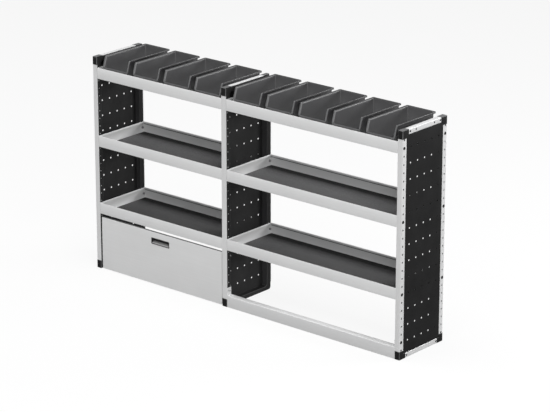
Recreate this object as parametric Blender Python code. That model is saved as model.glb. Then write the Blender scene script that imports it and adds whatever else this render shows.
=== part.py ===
"""Van racking system: two bays between three folded side frames, six shelf trays, nine lift-out bins and a drop-down flap.

Standalone Blender 4.5 script. Metres, +Z up. The origin is on the floor, under the middle of the object.
Dimensions below are in millimetres from the outer front left corner of the left upright: X to the right, Y to the
rear, Z up. put() turns them into metres about the origin.
"""

import math

import bmesh
import bpy
from mathutils import Vector

# ---------------------------------------------------------------- driving dimensions (mm)
WIDTH = 2229.0          # over the outer faces of the end uprights
DEPTH = 378.5           # front face of the uprights to their rear face
HEIGHT = 1276.0         # floor to the top of the corner caps
GAP = 0.3               # clearance between pieces that touch

END_FRAME_W = 32.0      # face width of an end upright
MID_FRAME_X = 973.0     # left face of the middle upright
MID_FRAME_W = 36.0
UPRIGHT_DEPTH = 32.0    # side leg of the upright's angle
UPRIGHT_T = 2.5
CORNER_R = 3.0

SIDE_RAIL_H = 28.0
CAP_PROUD = 1.5         # the caps stand this far outside the uprights, but not into a bay
CAP_H = 47.0
CAP_LEG = 50.0

PANEL_T = 1.5
PANEL_R = 15.0          # inner corner radius of the folded panel
LIP_FRONT, LIP_REAR, LIP_Z, LIP_R = 2.8, 4.5, 5.5, 16.0    # the panel's lip: in from the front and rear, over the floor, corner radius
REAR_CAP_W = 25.0       # the middle frame's rear caps end behind the panel's lip
HOLE_R = 5.0
HOLE_COLS, HOLE_PITCH_Y = 5, 60.0
HOLE_ROWS, HOLE_PITCH_Z, HOLE_Z0 = 13, 90.0, 99.1

TRAY_H = 65.0
TRAY_T = 1.5
HEM_T, HEM_H = 3.0, 9.0
TRAY_Z = {"lower": 338.4, "upper": 743.4, "top": 1148.4}
MAT_T = 3.0

BIN_W, BIN_L, BIN_H = 193.0, 354.7, 139.1
BIN_Y = 4.3             # front lip of a bin
BIN_LIP = 74.4          # height of the lip over the bin's underside
BIN_SHOULDER = 21.5     # the side walls' front edge leans back by this much
BIN_RIM_W, BIN_RIM_H = 12.2, 9.0
LEFT_BINS = [170.9 + 231.8 * k for k in range(4)]
RIGHT_BINS = [1152.9 + 230.7 * k for k in range(5)]

RAIL_H, RAIL_D, RAIL_T = 67.0, 38.0, 2.5

FLAP_X0, FLAP_X1 = 39.0, 966.5
FLAP_Y, FLAP_D = 4.0, 16.0
FLAP_Z0, FLAP_Z1 = 3.0, 318.0
FLAP_T = 1.5
FLAP_RETURN = 16.0
PIN_Y, PIN_Z, PIN_R = 10.0, 9.0, 1.5
KNUCKLE_R, BORE_R = 3.6, 1.68
HINGE_X0, HINGE_X1, KNUCKLES = 62.0, 943.5, 9
PULL_X, PULL_Z, PULL_W, PULL_H = 500.0, 264.0, 138.0, 38.0

ORIGIN = (WIDTH / 2, DEPTH / 2, 0.0)

for old in list(bpy.data.objects):
    bpy.data.objects.remove(old, do_unlink=True)


# ---------------------------------------------------------------- materials
def material(name, colour, roughness, metallic):
    made = bpy.data.materials.new(name)
    made.use_nodes = True
    shader = made.node_tree.nodes["Principled BSDF"]
    shader.inputs["Base Color"].default_value = (*colour, 1.0)
    shader.inputs["Roughness"].default_value = roughness
    shader.inputs["Metallic"].default_value = metallic
    made.diffuse_color = (*colour, 1.0)
    return made


ALUMINIUM = material("satin_aluminium", (0.60, 0.61, 0.62), 0.42, 1.0)
SHEET = material("light_grey_sheet", (0.57, 0.58, 0.58), 0.5, 0.4)
BLACK_SHEET = material("black_powder_coat", (0.022, 0.022, 0.023), 0.6, 0.0)
CAP_PLASTIC = material("black_cap_plastic", (0.016, 0.016, 0.017), 0.5, 0.0)
BIN_PLASTIC = material("dark_grey_bin_plastic", (0.065, 0.065, 0.068), 0.5, 0.0)
RUBBER = material("ribbed_rubber", (0.05, 0.05, 0.052), 0.8, 0.0)
STEEL = material("zinc_plated_steel", (0.5, 0.5, 0.5), 0.35, 1.0)


# ---------------------------------------------------------------- mesh helpers
def put(point, origin=ORIGIN):
    return Vector([(p - o) * 0.001 for p, o in zip(point, origin)])


def new_object(name, bm, made_of, at, parent=None, smooth=False):
    """An object from a bmesh in millimetres, with its own origin at the point `at`."""
    bmesh.ops.recalc_face_normals(bm, faces=bm.faces)
    for vertex in bm.verts:
        vertex.co = put(vertex.co, at)
    mesh = bpy.data.meshes.new(name)
    bm.to_mesh(mesh)
    bm.free()
    mesh.materials.append(made_of)
    if smooth:
        mesh.shade_smooth()
        mesh.set_sharp_from_angle(angle=math.radians(35))
    return place(name, mesh, at, parent)


def place(name, mesh, at, parent=None):
    obj = bpy.data.objects.new(name, mesh)
    bpy.context.scene.collection.objects.link(obj)
    here = put(at)
    if parent is not None:
        obj.parent = parent
        here = here - parent.location
    obj.location = here
    return obj


def empty(name, at):
    made = bpy.data.objects.new(name, None)
    bpy.context.scene.collection.objects.link(made)
    made.location = put(at)
    made.empty_display_size = 0.05
    return made


def loft(loops):
    """A closed solid through loops of equal length, with a flat face over the first and the last."""
    bm = bmesh.new()
    rows = [[bm.verts.new(point) for point in loop] for loop in loops]
    n = len(rows[0])
    for low, high in zip(rows, rows[1:]):
        for i in range(n):
            j = (i + 1) % n
            bm.faces.new((low[i], low[j], high[j], high[i]))
    bm.faces.new(rows[0])
    bm.faces.new(rows[-1])
    return bm


def prism(outline, axis, a, b):
    """An outline extruded along an axis from a to b. The outline holds the other two coordinates, in X, Y, Z order."""
    order = {
        "X": lambda p, t: (t, p[0], p[1]),
        "Y": lambda p, t: (p[0], t, p[1]),
        "Z": lambda p, t: (p[0], p[1], t),
    }[axis]
    return loft([[order(p, a) for p in outline], [order(p, b) for p in outline]])


def box(low, high):
    return prism(
        [(low[0], low[1]), (high[0], low[1]), (high[0], high[1]), (low[0], high[1])],
        "Z", low[2], high[2],
    )


def rounded(u0, u1, v0, v1, radius, steps=2):
    """A rectangle with round corners, as a list of points."""
    points = []
    for cu, cv, start in (
        (u1 - radius, v1 - radius, 0), (u0 + radius, v1 - radius, 90),
        (u0 + radius, v0 + radius, 180), (u1 - radius, v0 + radius, 270),
    ):
        for k in range(steps + 1):
            angle = math.radians(start + 90 * k / steps)
            points.append((cu + radius * math.cos(angle), cv + radius * math.sin(angle)))
    return points


def arc(cu, cv, radius, start, end, steps):
    return [
        (cu + radius * math.cos(math.radians(start + (end - start) * k / steps)),
         cv + radius * math.sin(math.radians(start + (end - start) * k / steps)))
        for k in range(steps + 1)
    ]


def helper(name, bm):
    """A cutter, or a shape to be joined on, that isn't a part of its own."""
    obj = new_object(name, bm, CAP_PLASTIC, ORIGIN)
    obj.hide_render = True
    obj.display_type = "WIRE"
    return obj


def boolean(obj, other, operation):
    modifier = obj.modifiers.new(operation.lower() + "_" + other.name, "BOOLEAN")
    modifier.operation = operation
    modifier.object = other
    modifier.solver = "EXACT"


def bevel(obj, width, steps, angle=40):
    modifier = obj.modifiers.new("edge", "BEVEL")
    modifier.width = width * 0.001
    modifier.segments = steps
    modifier.limit_method = "ANGLE"
    modifier.angle_limit = math.radians(angle)


# ---------------------------------------------------------------- side frames
def side_frame(name, x0, direction, width):
    """One end of a bay: front and rear upright, two side rails, folded panel and four corner caps.

    x runs from the outer face (0) to the face towards the bay (width). direction is -1 on the right frame.
    """
    root = empty(name + "_frame", (x0 + direction * width / 2, DEPTH / 2, 0))
    t, r = UPRIGHT_T, CORNER_R

    def mapped(outline):
        return [(x0 + direction * x, v) for x, v in outline]

    def span(a, b):
        return sorted((x0 + direction * a, x0 + direction * b))

    # Uprights: an angle with a round outer corner, open towards the panel.
    angle = [(width, 0.0)] + arc(r, r, r, 270, 180, 3) + [
        (0.0, UPRIGHT_DEPTH), (t, UPRIGHT_DEPTH), (t, t), (width, t)]
    for side in ("front", "rear"):
        outline = angle if side == "front" else [(x, DEPTH - y) for x, y in angle]
        bm = prism(mapped(outline), "Z", CAP_H + GAP, HEIGHT - CAP_H - GAP)
        y = 0.0 if side == "front" else DEPTH
        new_object(f"{name}_{side}_upright", bm, ALUMINIUM, (x0, y, 0), root)

    # Side rails between the caps.
    top = HEIGHT - 1.0
    top_outline = [(0.0, HEIGHT - SIDE_RAIL_H), (t, HEIGHT - SIDE_RAIL_H), (t, top - t), (SIDE_RAIL_H, top - t), (SIDE_RAIL_H, top)]
    top_outline += arc(r, top - r, r, 90, 180, 3)
    new_object(f"{name}_top_rail", prism(mapped(top_outline), "Y", CAP_LEG + GAP, DEPTH - CAP_LEG - GAP),
               ALUMINIUM, (x0, DEPTH / 2, HEIGHT), root)
    low_outline = [(0.0, 1.5), (t, 1.5), (t, SIDE_RAIL_H - t), (width - PANEL_T - GAP, SIDE_RAIL_H - t),
                   (width - PANEL_T - GAP, SIDE_RAIL_H), (0.0, SIDE_RAIL_H)]
    new_object(f"{name}_bottom_rail", prism(mapped(low_outline), "Y", CAP_LEG + GAP, DEPTH - CAP_LEG - GAP),
               ALUMINIUM, (x0, DEPTH / 2, 0), root)

    # Folded panel: a shallow pan with a wide lip that covers the bay faces of the uprights, rails and caps.
    y0, y1 = UPRIGHT_DEPTH + GAP, DEPTH - UPRIGHT_DEPTH - GAP
    z0, z1 = SIDE_RAIL_H + GAP, HEIGHT - SIDE_RAIL_H - GAP
    pan = prism(rounded(y0, y1, z0, z1, PANEL_R + PANEL_T, 3), "X", *span(0.0, width - 0.5))
    panel = new_object(f"{name}_side_panel", pan, BLACK_SHEET, (x0, DEPTH / 2, 0), root)
    lip = rounded(LIP_FRONT, DEPTH - LIP_REAR, LIP_Z, top - t - GAP, LIP_R, 3)
    boolean(panel, helper(f"{name}_panel_lip", prism(lip, "X", *span(width - PANEL_T, width))), "UNION")
    hollow = rounded(y0 + PANEL_T, y1 - PANEL_T, z0 + PANEL_T, z1 - PANEL_T, PANEL_R, 3)
    boolean(panel, helper(f"{name}_panel_hollow", prism(hollow, "X", *span(PANEL_T, width + 2.0))), "DIFFERENCE")
    holes = bmesh.new()
    for i in range(HOLE_COLS):
        for j in range(HOLE_ROWS):
            cy = DEPTH / 2 + (i - (HOLE_COLS - 1) / 2) * HOLE_PITCH_Y
            cz = HOLE_Z0 + j * HOLE_PITCH_Z
            ring = [(cy + HOLE_R * math.cos(math.radians(30 + 60 * k)),
                     cz + HOLE_R * math.sin(math.radians(30 + 60 * k))) for k in range(6)]
            single = prism(ring, "X", *span(-2.0, PANEL_T + 2.0))
            scratch = bpy.data.meshes.new("hole")
            single.to_mesh(scratch)
            single.free()
            holes.from_mesh(scratch)
            bpy.data.meshes.remove(scratch)
    boolean(panel, helper(f"{name}_panel_holes", holes), "DIFFERENCE")

    # Corner caps: moulded elbows over the ends of an upright and a rail, with a tongue inside each.
    p = CAP_PROUD
    out = 0.0 if name == "middle" else p
    elbow = [(-p, 0.0), (CAP_LEG, 0.0), (CAP_LEG, SIDE_RAIL_H), (UPRIGHT_DEPTH, SIDE_RAIL_H), (UPRIGHT_DEPTH, CAP_H), (-p, CAP_H)]
    for front in (True, False):
        for low in (True, False):
            def flip(outline):
                return [(y if front else DEPTH - y, z if low else HEIGHT - z) for y, z in outline]
            end = f"{name}_cap_{'front' if front else 'rear'}_{'bottom' if low else 'top'}"
            y = 0.0 if front else DEPTH
            z = 0.0 if low else HEIGHT
            cap_w = REAR_CAP_W if name == "middle" and not front else width
            cap = new_object(end, prism(flip(elbow), "X", *span(-out, cap_w)), CAP_PLASTIC, (x0, y, z), root)
            bevel(cap, 3.2, 2)
            # Behind its front plate the cap stops short of the panel's lip.
            shelf_y = sorted((t, CAP_LEG + 5.0) if front else (DEPTH - t, DEPTH - CAP_LEG - 5.0))
            shelf_z = sorted((-5.0, CAP_H + 5.0) if low else (HEIGHT + 5.0, HEIGHT - CAP_H - 5.0))
            shelf_x = span(width - PANEL_T - GAP, width + 5.0)
            shelf = box((shelf_x[0], shelf_y[0], shelf_z[0]), (shelf_x[1], shelf_y[1], shelf_z[1]))
            boolean(cap, helper(end + "_shelf", shelf), "DIFFERENCE")
            low_z, high_z = sorted((CAP_H - 1.0 if low else HEIGHT - CAP_H + 1.0, CAP_H + 24.0 if low else HEIGHT - CAP_H - 24.0))
            tongue_y = sorted((t + 1.0 if front else DEPTH - t - 1.0, 29.0 if front else DEPTH - 29.0))
            tongue_x = span(t + 1.0, cap_w - 4.0)
            tongue = box((tongue_x[0], tongue_y[0], low_z), (tongue_x[1], tongue_y[1], high_z))
            boolean(cap, helper(end + "_tongue", tongue), "UNION")
    return root


side_frame("left", 0.0, 1, END_FRAME_W)
side_frame("middle", MID_FRAME_X, 1, MID_FRAME_W)
side_frame("right", WIDTH, -1, END_FRAME_W)

BAYS = {
    "left": (END_FRAME_W + GAP, MID_FRAME_X - GAP),
    "right": (MID_FRAME_X + MID_FRAME_W + GAP, WIDTH - END_FRAME_W - GAP),
}


# ---------------------------------------------------------------- shelf trays and mats
def tray(name, x0, x1, z0, parent):
    def ring(inset, z, radius):
        return [(x, y, z) for x, y in rounded(x0 + inset, x1 - inset, inset, DEPTH - inset, radius)]

    top = z0 + TRAY_H
    bm = loft([
        ring(0.0, z0, 3.0), ring(0.0, top - 1.0, 3.0), ring(1.0, top, 2.4), ring(HEM_T - 1.0, top, 1.6), ring(HEM_T, top - 1.0, 1.2),
        ring(HEM_T, top - HEM_H, 1.2), ring(TRAY_T, top - HEM_H, 1.6), ring(TRAY_T, z0 + TRAY_T, 1.6)])
    return new_object(name, bm, SHEET, ((x0 + x1) / 2, DEPTH / 2, z0), parent)


for bay, (x0, x1) in BAYS.items():
    holder = empty(f"{bay}_bay", ((x0 + x1) / 2, DEPTH / 2, 0))
    for level, z in TRAY_Z.items():
        tray(f"{bay}_bay_{level}_tray", x0, x1, z, holder)
        if level == "top":
            continue
        under = z + TRAY_T + GAP
        outline = rounded(x0 + 5.0, x1 - 5.0, 5.0, DEPTH - 5.0, 5.0)
        new_object(f"{bay}_bay_{level}_mat", prism(outline, "Z", under, under + MAT_T), RUBBER,
                   ((x0 + x1) / 2, DEPTH / 2, under), holder)


# ---------------------------------------------------------------- bottom rail of the right bay, with its end brackets
x0, x1 = BAYS["right"]
lower = empty("right_bay_foot", ((x0 + x1) / 2, 0, 0))
rail_top = 1.0 + RAIL_H
channel = arc(3.0, rail_top - 3.0, 3.0, 180, 90, 3) + [
    (RAIL_D, rail_top), (RAIL_D, rail_top - RAIL_T), (RAIL_T, rail_top - RAIL_T),
    (RAIL_T, 1.0 + RAIL_T), (RAIL_D, 1.0 + RAIL_T), (RAIL_D, 1.0), (0.0, 1.0)]
new_object("right_bay_front_rail", prism(channel, "X", x0, x1), ALUMINIUM, ((x0 + x1) / 2, 0, 1.0), lower)
for side, wall, way in (("left", x0, 1), ("right", x1, -1)):
    foot = rail_top + GAP
    shape = [(wall, foot), (wall + way * 26.0, foot), (wall + way * 26.0, foot + 2.5), (wall + way * 2.5, foot + 2.5),
             (wall + way * 2.5, 115.0), (wall, 115.0)]
    bracket = new_object(f"front_rail_bracket_{side}", prism(shape, "Y", 1.0, 32.0), ALUMINIUM, (wall, 0, foot), lower)


# ---------------------------------------------------------------- bins
def bin_loop(a, b):
    """A loop at distance a in from the rim's outer edge and b under the rim's surface.

    The surface runs level round the back, turns down the leaning front edges of the side walls and crosses the front as a low lip.
    """
    top, lip, lean = BIN_H, BIN_LIP, BIN_SHOULDER
    run = math.hypot(lean, top - lip)
    ny, nz = (top - lip) / run, lean / run          # into the wall, from the leaning edge
    half = []
    radius = max(7.0 - a, 3.0)
    edge = BIN_L - a
    for k in range(3):
        turn = math.radians(90 * k / 2)
        half.append((a + radius - radius * math.sin(turn), edge - radius + radius * math.cos(turn), top - b))
    half.append((a, lean + 5.0 + b * 0.8, top - b))
    half.append((a, lean + 0.6 + b * ny * 0.9, top - 1.6 - b * 0.8))
    half.append((a, lean * 0.9 + b * ny, top - 7.0 - b * nz))
    half.append((a, lean * 0.14 + b * ny, lip + 9.0 - b * nz))
    half.append((1.5 + 0.88 * a, 0.4 + 0.45 * a + 0.6 * b, lip + 1.6 + 0.1 * a - 0.7 * b))
    half.append((8.0 + 0.48 * a, a, lip - b))
    return half + [(BIN_W - x, y, z) for x, y, z in reversed(half)]


def bin_floor(inset, z, radius=8.0):
    """The same count of points round the flat bottom."""
    y0, y1 = inset + 1.0, BIN_L - inset
    half = []
    for k in range(3):
        turn = math.radians(90 * k / 2)
        half.append((inset + radius - radius * math.sin(turn), y1 - radius + radius * math.cos(turn), z))
    half += [(inset, y0 + 26.0, z), (inset, y0 + 21.0, z), (inset, y0 + 16.0, z), (inset, y0 + radius, z),
             (inset + radius * 0.3, y0 + radius * 0.3, z), (inset + radius, y0, z)]
    return half + [(BIN_W - x, y, z) for x, y, z in reversed(half)]


bin_bm = loft([
    bin_floor(12.2, 0.0), bin_loop(9.2, BIN_RIM_H), bin_loop(0.0, BIN_RIM_H), bin_loop(0.0, 1.5), bin_loop(1.5, 0.0),
    bin_loop(BIN_RIM_W - 7.6, 0.0), bin_loop(BIN_RIM_W - 2.4, 2.4), bin_loop(BIN_RIM_W, BIN_RIM_H - 1.0),
    bin_floor(15.0, 2.6)])
for vertex in bin_bm.verts:
    vertex.co.x -= BIN_W / 2
bin_z = TRAY_Z["top"] + TRAY_T + GAP
first = new_object("left_bin_1", bin_bm, BIN_PLASTIC, (0, 0, 0))
first.location = put((LEFT_BINS[0], BIN_Y, bin_z))
for bay, centres in (("left", LEFT_BINS), ("right", RIGHT_BINS)):
    for k, x in enumerate(centres, start=1):
        if (bay, k) != ("left", 1):
            place(f"{bay}_bin_{k}", first.data, (x, BIN_Y, bin_z))


# ---------------------------------------------------------------- drop-down flap of the left bay
axis = empty("flap_hinge_axis", ((FLAP_X0 + FLAP_X1) / 2, PIN_Y, PIN_Z))
pivot = ((FLAP_X0 + FLAP_X1) / 2, PIN_Y, PIN_Z)


def flap_ring(inset, y, radius):
    return [(x, y, z) for x, z in rounded(FLAP_X0 + inset, FLAP_X1 - inset, FLAP_Z0 + inset, FLAP_Z1 - inset, radius)]


back = FLAP_Y + FLAP_D
flap = new_object("flap_panel", loft([
    flap_ring(3.0, FLAP_Y, 1.2), flap_ring(0.9, FLAP_Y + 0.9, 2.2), flap_ring(0.0, FLAP_Y + 3.0, 3.0), flap_ring(0.0, back, 3.0), flap_ring(FLAP_RETURN, back, 1.5),
    flap_ring(FLAP_RETURN, back - FLAP_T, 1.5), flap_ring(FLAP_T, back - FLAP_T, 1.6), flap_ring(FLAP_T, FLAP_Y + 3.0, 1.6),
    flap_ring(3.0, FLAP_Y + FLAP_T, 0.8)]), SHEET, pivot, axis)
boolean(flap, helper("flap_foot_cut", box((FLAP_X0 + FLAP_RETURN + 1.0, FLAP_Y + FLAP_T + 0.1, FLAP_Z0 - 5.0),
                                          (FLAP_X1 - FLAP_RETURN - 1.0, back + 5.0, FLAP_Z0 + FLAP_RETURN + 2.0))), "DIFFERENCE")
pull_x0, pull_x1 = PULL_X - PULL_W / 2, PULL_X + PULL_W / 2
pull_z0, pull_z1 = PULL_Z - PULL_H / 2, PULL_Z + PULL_H / 2
window = rounded(pull_x0 + 2.0, pull_x1 - 2.0, pull_z0 + 2.0, pull_z1 - 2.0, 5.0)
boolean(flap, helper("flap_pull_window", prism(window, "Y", FLAP_Y - 3.0, FLAP_Y + 5.0)), "DIFFERENCE")


def pull_ring(inset, y, radius):
    return [(x, y, z) for x, z in rounded(pull_x0 + inset, pull_x1 - inset, pull_z0 + inset, pull_z1 - inset, radius)]


new_object("flap_pull_cup", loft([
    pull_ring(4.0, FLAP_Y + 13.5, 3.0), pull_ring(3.0, FLAP_Y - GAP, 4.0), pull_ring(0.0, FLAP_Y - GAP, 6.0), pull_ring(0.0, FLAP_Y - 1.0, 6.0),
    pull_ring(0.9, FLAP_Y - 1.6, 5.4), pull_ring(4.0, FLAP_Y - 1.6, 4.2), pull_ring(5.0, FLAP_Y + 3.0, 3.0), pull_ring(6.0, FLAP_Y + 11.5, 2.5)]),
    CAP_PLASTIC, pivot, axis)

# Piano hinge along the flap's foot.
sides = 10
circle = [(math.cos(2 * math.pi * (k + 0.5) / sides), math.sin(2 * math.pi * (k + 0.5) / sides)) for k in range(sides)]


def tube(x0, x1):
    """A knuckle: a ring round the pin, as a closed solid with a bore."""
    bm = bmesh.new()
    rows = []
    for x, radius in ((x0, KNUCKLE_R), (x1, KNUCKLE_R), (x1, BORE_R), (x0, BORE_R)):
        rows.append([bm.verts.new((x, PIN_Y + radius * c, PIN_Z + radius * s)) for c, s in circle])
    for low, high in zip(rows, rows[1:] + rows[:1]):
        for i in range(sides):
            j = (i + 1) % sides
            bm.faces.new((low[i], low[j], high[j], high[i]))
    return bm


def comb(edge, far, reach, first):
    """A leaf's outline, with a tooth under every second knuckle from the first."""
    outline = [(HINGE_X0, far), (HINGE_X0, edge)]
    for k in range(first, KNUCKLES, 2):
        a, b = HINGE_X0 + k * pitch + 0.9, HINGE_X0 + (k + 1) * pitch - 0.9
        outline += [(a, edge), (a, reach), (b, reach), (b, edge)]
    return outline + [(HINGE_X1, edge), (HINGE_X1, far)]


pitch = (HINGE_X1 - HINGE_X0) / KNUCKLES
leaf_y = FLAP_Y + FLAP_T + GAP
flap_leaf = new_object("hinge_flap_leaf", prism(comb(13.6, 42.0, 9.4, 0), "Y", leaf_y, leaf_y + 1.5), STEEL, pivot, axis)
fixed_leaf = new_object("hinge_fixed_leaf", prism(comb(14.4, 46.0, 10.6, 1), "Z", 5.1, 6.6), STEEL, pivot)
for k in range(KNUCKLES):
    knuckle = helper(f"hinge_knuckle_{k}", tube(HINGE_X0 + k * pitch + 0.25, HINGE_X0 + (k + 1) * pitch - 0.25))
    boolean(flap_leaf if k % 2 == 0 else fixed_leaf, knuckle, "UNION")
pin = prism([(PIN_Y + PIN_R * c, PIN_Z + PIN_R * s) for c, s in circle], "X", HINGE_X0, HINGE_X1)
new_object("hinge_pin", pin, STEEL, pivot)

# Sill behind the flap's foot, which carries the fixed leaf.
x0, x1 = BAYS["left"]
sill = [(24.0, 7.0), (46.0, 7.0), (46.0, 9.0), (26.0, 9.0), (26.0, 27.0), (46.0, 27.0), (46.0, 29.0), (24.0, 29.0)]
new_object("left_bay_sill_rail", prism(sill, "X", x0, x1), ALUMINIUM, ((x0 + x1) / 2, 24.0, 7.0))

# Magnetic catches on the frames, behind the flap's side returns.
for side, a, b in (("left", x0, x0 + 18.0), ("right", x1 - 18.0, x1)):
    catch = new_object(f"flap_catch_{side}", box((a, back + 0.4, 262.0), (b, back + 14.0, 290.0)), CAP_PLASTIC, ((a + b) / 2, back + 7.0, 276.0))
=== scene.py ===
"""Looks of the van racking system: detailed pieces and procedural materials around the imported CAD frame.

Lengths below are in millimetres from the outer front left corner of the left upright: X to the right, Y to the rear,
Z up. P() turns them into metres about the row's origin, on the floor under the middle of the object.
"""

import math

import bmesh
import bpy
from mathutils import Matrix, Vector


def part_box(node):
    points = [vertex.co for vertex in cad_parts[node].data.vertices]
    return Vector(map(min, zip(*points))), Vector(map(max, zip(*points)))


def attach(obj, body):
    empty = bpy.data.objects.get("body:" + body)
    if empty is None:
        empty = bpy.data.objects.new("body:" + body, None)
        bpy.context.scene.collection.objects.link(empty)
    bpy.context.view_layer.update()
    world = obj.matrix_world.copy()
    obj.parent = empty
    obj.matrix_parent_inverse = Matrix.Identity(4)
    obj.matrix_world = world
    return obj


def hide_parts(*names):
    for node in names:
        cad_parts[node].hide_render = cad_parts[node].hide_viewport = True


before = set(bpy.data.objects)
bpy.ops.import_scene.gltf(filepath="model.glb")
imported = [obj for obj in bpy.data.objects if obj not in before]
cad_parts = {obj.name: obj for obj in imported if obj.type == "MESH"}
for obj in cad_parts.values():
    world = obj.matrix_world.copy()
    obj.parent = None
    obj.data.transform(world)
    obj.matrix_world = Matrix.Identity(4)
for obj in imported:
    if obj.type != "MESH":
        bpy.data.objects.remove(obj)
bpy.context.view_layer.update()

# ---------------------------------------------------------------- sizes, as in the CAD (mm)
WIDTH, DEPTH, HEIGHT = 2229.0, 378.5, 1276.0
GAP = 0.3
END_W, MID_X, MID_W = 32.0, 973.0, 36.0
UP_D, UP_T, UP_R = 32.0, 2.5, 3.0
RAIL28 = 28.0
CAP_PROUD, CAP_H, CAP_LEG = 1.5, 47.0, 50.0
PANEL_T, PANEL_R = 1.5, 15.0
LIP_FRONT, LIP_REAR, LIP_Z, LIP_R = 2.8, 4.5, 5.5, 16.0
REAR_CAP_W = 25.0
GRID45 = [99.1 + 45.0 * k for k in range(-1, 26)]
SHELF_BOLTS = [99.1, 369.1, 774.1, 1179.1]
CAP_SCREWS = [54.1, 1224.1]
TRAY_H, TRAY_T = 65.0, 1.5
TRAY_Z = {"lower": 338.4, "upper": 743.4, "top": 1148.4}
BAYS = {"left": (END_W + GAP, MID_X - GAP), "right": (MID_X + MID_W + GAP, WIDTH - END_W - GAP)}
BIN_W, BIN_L, BIN_H, BIN_Y = 193.0, 354.7, 139.1, 4.3
BIN_LIP, BIN_LEAN = 74.4, 21.5
BIN_Z = TRAY_Z["top"] + TRAY_T + GAP
LEFT_BINS = [170.9 + 231.8 * k for k in range(4)]
RIGHT_BINS = [1152.9 + 230.7 * k for k in range(5)]
FLAP = (39.0, 966.5, 3.0, 318.0)
FLAP_Y, FLAP_D, FLAP_T = 4.0, 16.0, 1.5
PIN_Y, PIN_Z = 10.0, 9.0
HINGE_X0, HINGE_X1, KNUCKLES = 62.0, 943.5, 9
PULL_X, PULL_Z, PULL_W, PULL_H = 500.0, 264.0, 138.0, 38.0

ORIGIN = Vector((WIDTH / 2, DEPTH / 2, 0.0))

# Studio: share of the floor that takes shadows, and the sky's bright patches as (direction, tightness, strength).
FLOOR_SHARE = 0.08
SKY_PATCHES = [
    ((-0.614, 0.72, 0.322), 14.0, 0.25),
    ((0.73, -0.62, -0.32), 24.0, 1.2),
    ((-0.614, -0.12, 0.78), 30.0, 2.2),
    ((-0.614, -0.77, 0.174), 36.0, 0.4),
]


def P(x, y, z):
    return (Vector((x, y, z)) - ORIGIN) * 0.001


# ---------------------------------------------------------------- materials
def node_of(tree, kind, x=0, y=0, **values):
    made = tree.nodes.new(kind)
    made.location = (x, y)
    for key, value in values.items():
        setattr(made, key, value)
    return made


def new_material(name, colour, roughness, metallic=0.0, specular=0.5):
    made = bpy.data.materials.new(name)
    made.use_nodes = True
    tree = made.node_tree
    shader = tree.nodes["Principled BSDF"]
    shader.inputs["Base Color"].default_value = (*colour, 1.0)
    shader.inputs["Roughness"].default_value = roughness
    shader.inputs["Metallic"].default_value = metallic
    shader.inputs["Specular IOR Level"].default_value = specular
    made.diffuse_color = (*colour, 1.0)
    return made, tree, shader


def coordinates(tree, scale, x=-1400, y=0, rotation=(0, 0, 0)):
    where = node_of(tree, "ShaderNodeTexCoord", x, y)
    mapping = node_of(tree, "ShaderNodeMapping", x + 180, y)
    mapping.inputs["Scale"].default_value = scale
    mapping.inputs["Rotation"].default_value = rotation
    tree.links.new(where.outputs["Object"], mapping.inputs["Vector"])
    return mapping.outputs["Vector"]


def noise(tree, vector, scale, detail=4.0, rough=0.55, x=-1000, y=0):
    made = node_of(tree, "ShaderNodeTexNoise", x, y)
    made.inputs["Scale"].default_value = scale
    made.inputs["Detail"].default_value = detail
    made.inputs["Roughness"].default_value = rough
    tree.links.new(vector, made.inputs["Vector"])
    return made.outputs["Fac"]


def ramp(tree, factor, stops, x=-700, y=0):
    made = node_of(tree, "ShaderNodeValToRGB", x, y)
    elements = made.color_ramp.elements
    for k, (position, colour) in enumerate(stops):
        element = elements[k] if k < 2 else elements.new(position)
        element.position = position
        element.color = (*colour, 1.0)
    tree.links.new(factor, made.inputs["Fac"])
    return made.outputs["Color"]


def scaled(tree, factor, low, high, x=-700, y=-300, source=(0.3, 0.7)):
    made = node_of(tree, "ShaderNodeMapRange", x, y)
    made.inputs["From Min"].default_value, made.inputs["From Max"].default_value = source
    made.inputs["To Min"].default_value, made.inputs["To Max"].default_value = low, high
    tree.links.new(factor, made.inputs["Value"])
    return made.outputs["Result"]


def bump(tree, shader, height, strength, distance, x=-300, y=-500, after=None):
    made = node_of(tree, "ShaderNodeBump", x, y)
    made.inputs["Strength"].default_value = strength
    made.inputs["Distance"].default_value = distance
    tree.links.new(height, made.inputs["Height"])
    if after is not None:
        tree.links.new(after, made.inputs["Normal"])
    tree.links.new(made.outputs["Normal"], shader.inputs["Normal"])
    return made.outputs["Normal"]


def tint(colour, factor):
    return tuple(c * factor for c in colour)


def aluminium(name, along, colour, roughness=0.42, metallic=0.55, specular=0.5):
    """Satin sheet or extrusion, with fine drawing lines along one axis and a faint cloudiness."""
    made, tree, shader = new_material(name, colour, roughness, metallic, specular)
    fine = [520.0, 520.0, 520.0]
    fine["XYZ".index(along)] = 3.0
    lines = noise(tree, coordinates(tree, fine, y=300), 1.0, 3.0, 0.6, y=300)
    cloud = noise(tree, coordinates(tree, (5.0, 5.0, 5.0), y=-100), 1.0, 3.0, 0.5, y=-100)
    mixed = node_of(tree, "ShaderNodeMath", -850, 120, operation="ADD")
    half = node_of(tree, "ShaderNodeMath", -930, 0, operation="MULTIPLY")
    half.inputs[1].default_value = 0.6
    tree.links.new(cloud, half.inputs[0])
    tree.links.new(lines, mixed.inputs[0])
    tree.links.new(half.outputs[0], mixed.inputs[1])
    tree.links.new(ramp(tree, mixed.outputs[0], [(0.35, tint(colour, 0.955)), (0.8, colour), (1.0, tint(colour, 1.035))]), shader.inputs["Base Color"])
    tree.links.new(scaled(tree, lines, roughness - 0.05, roughness + 0.06), shader.inputs["Roughness"])
    bump(tree, shader, lines, 0.09, 0.0002)
    return made


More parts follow.
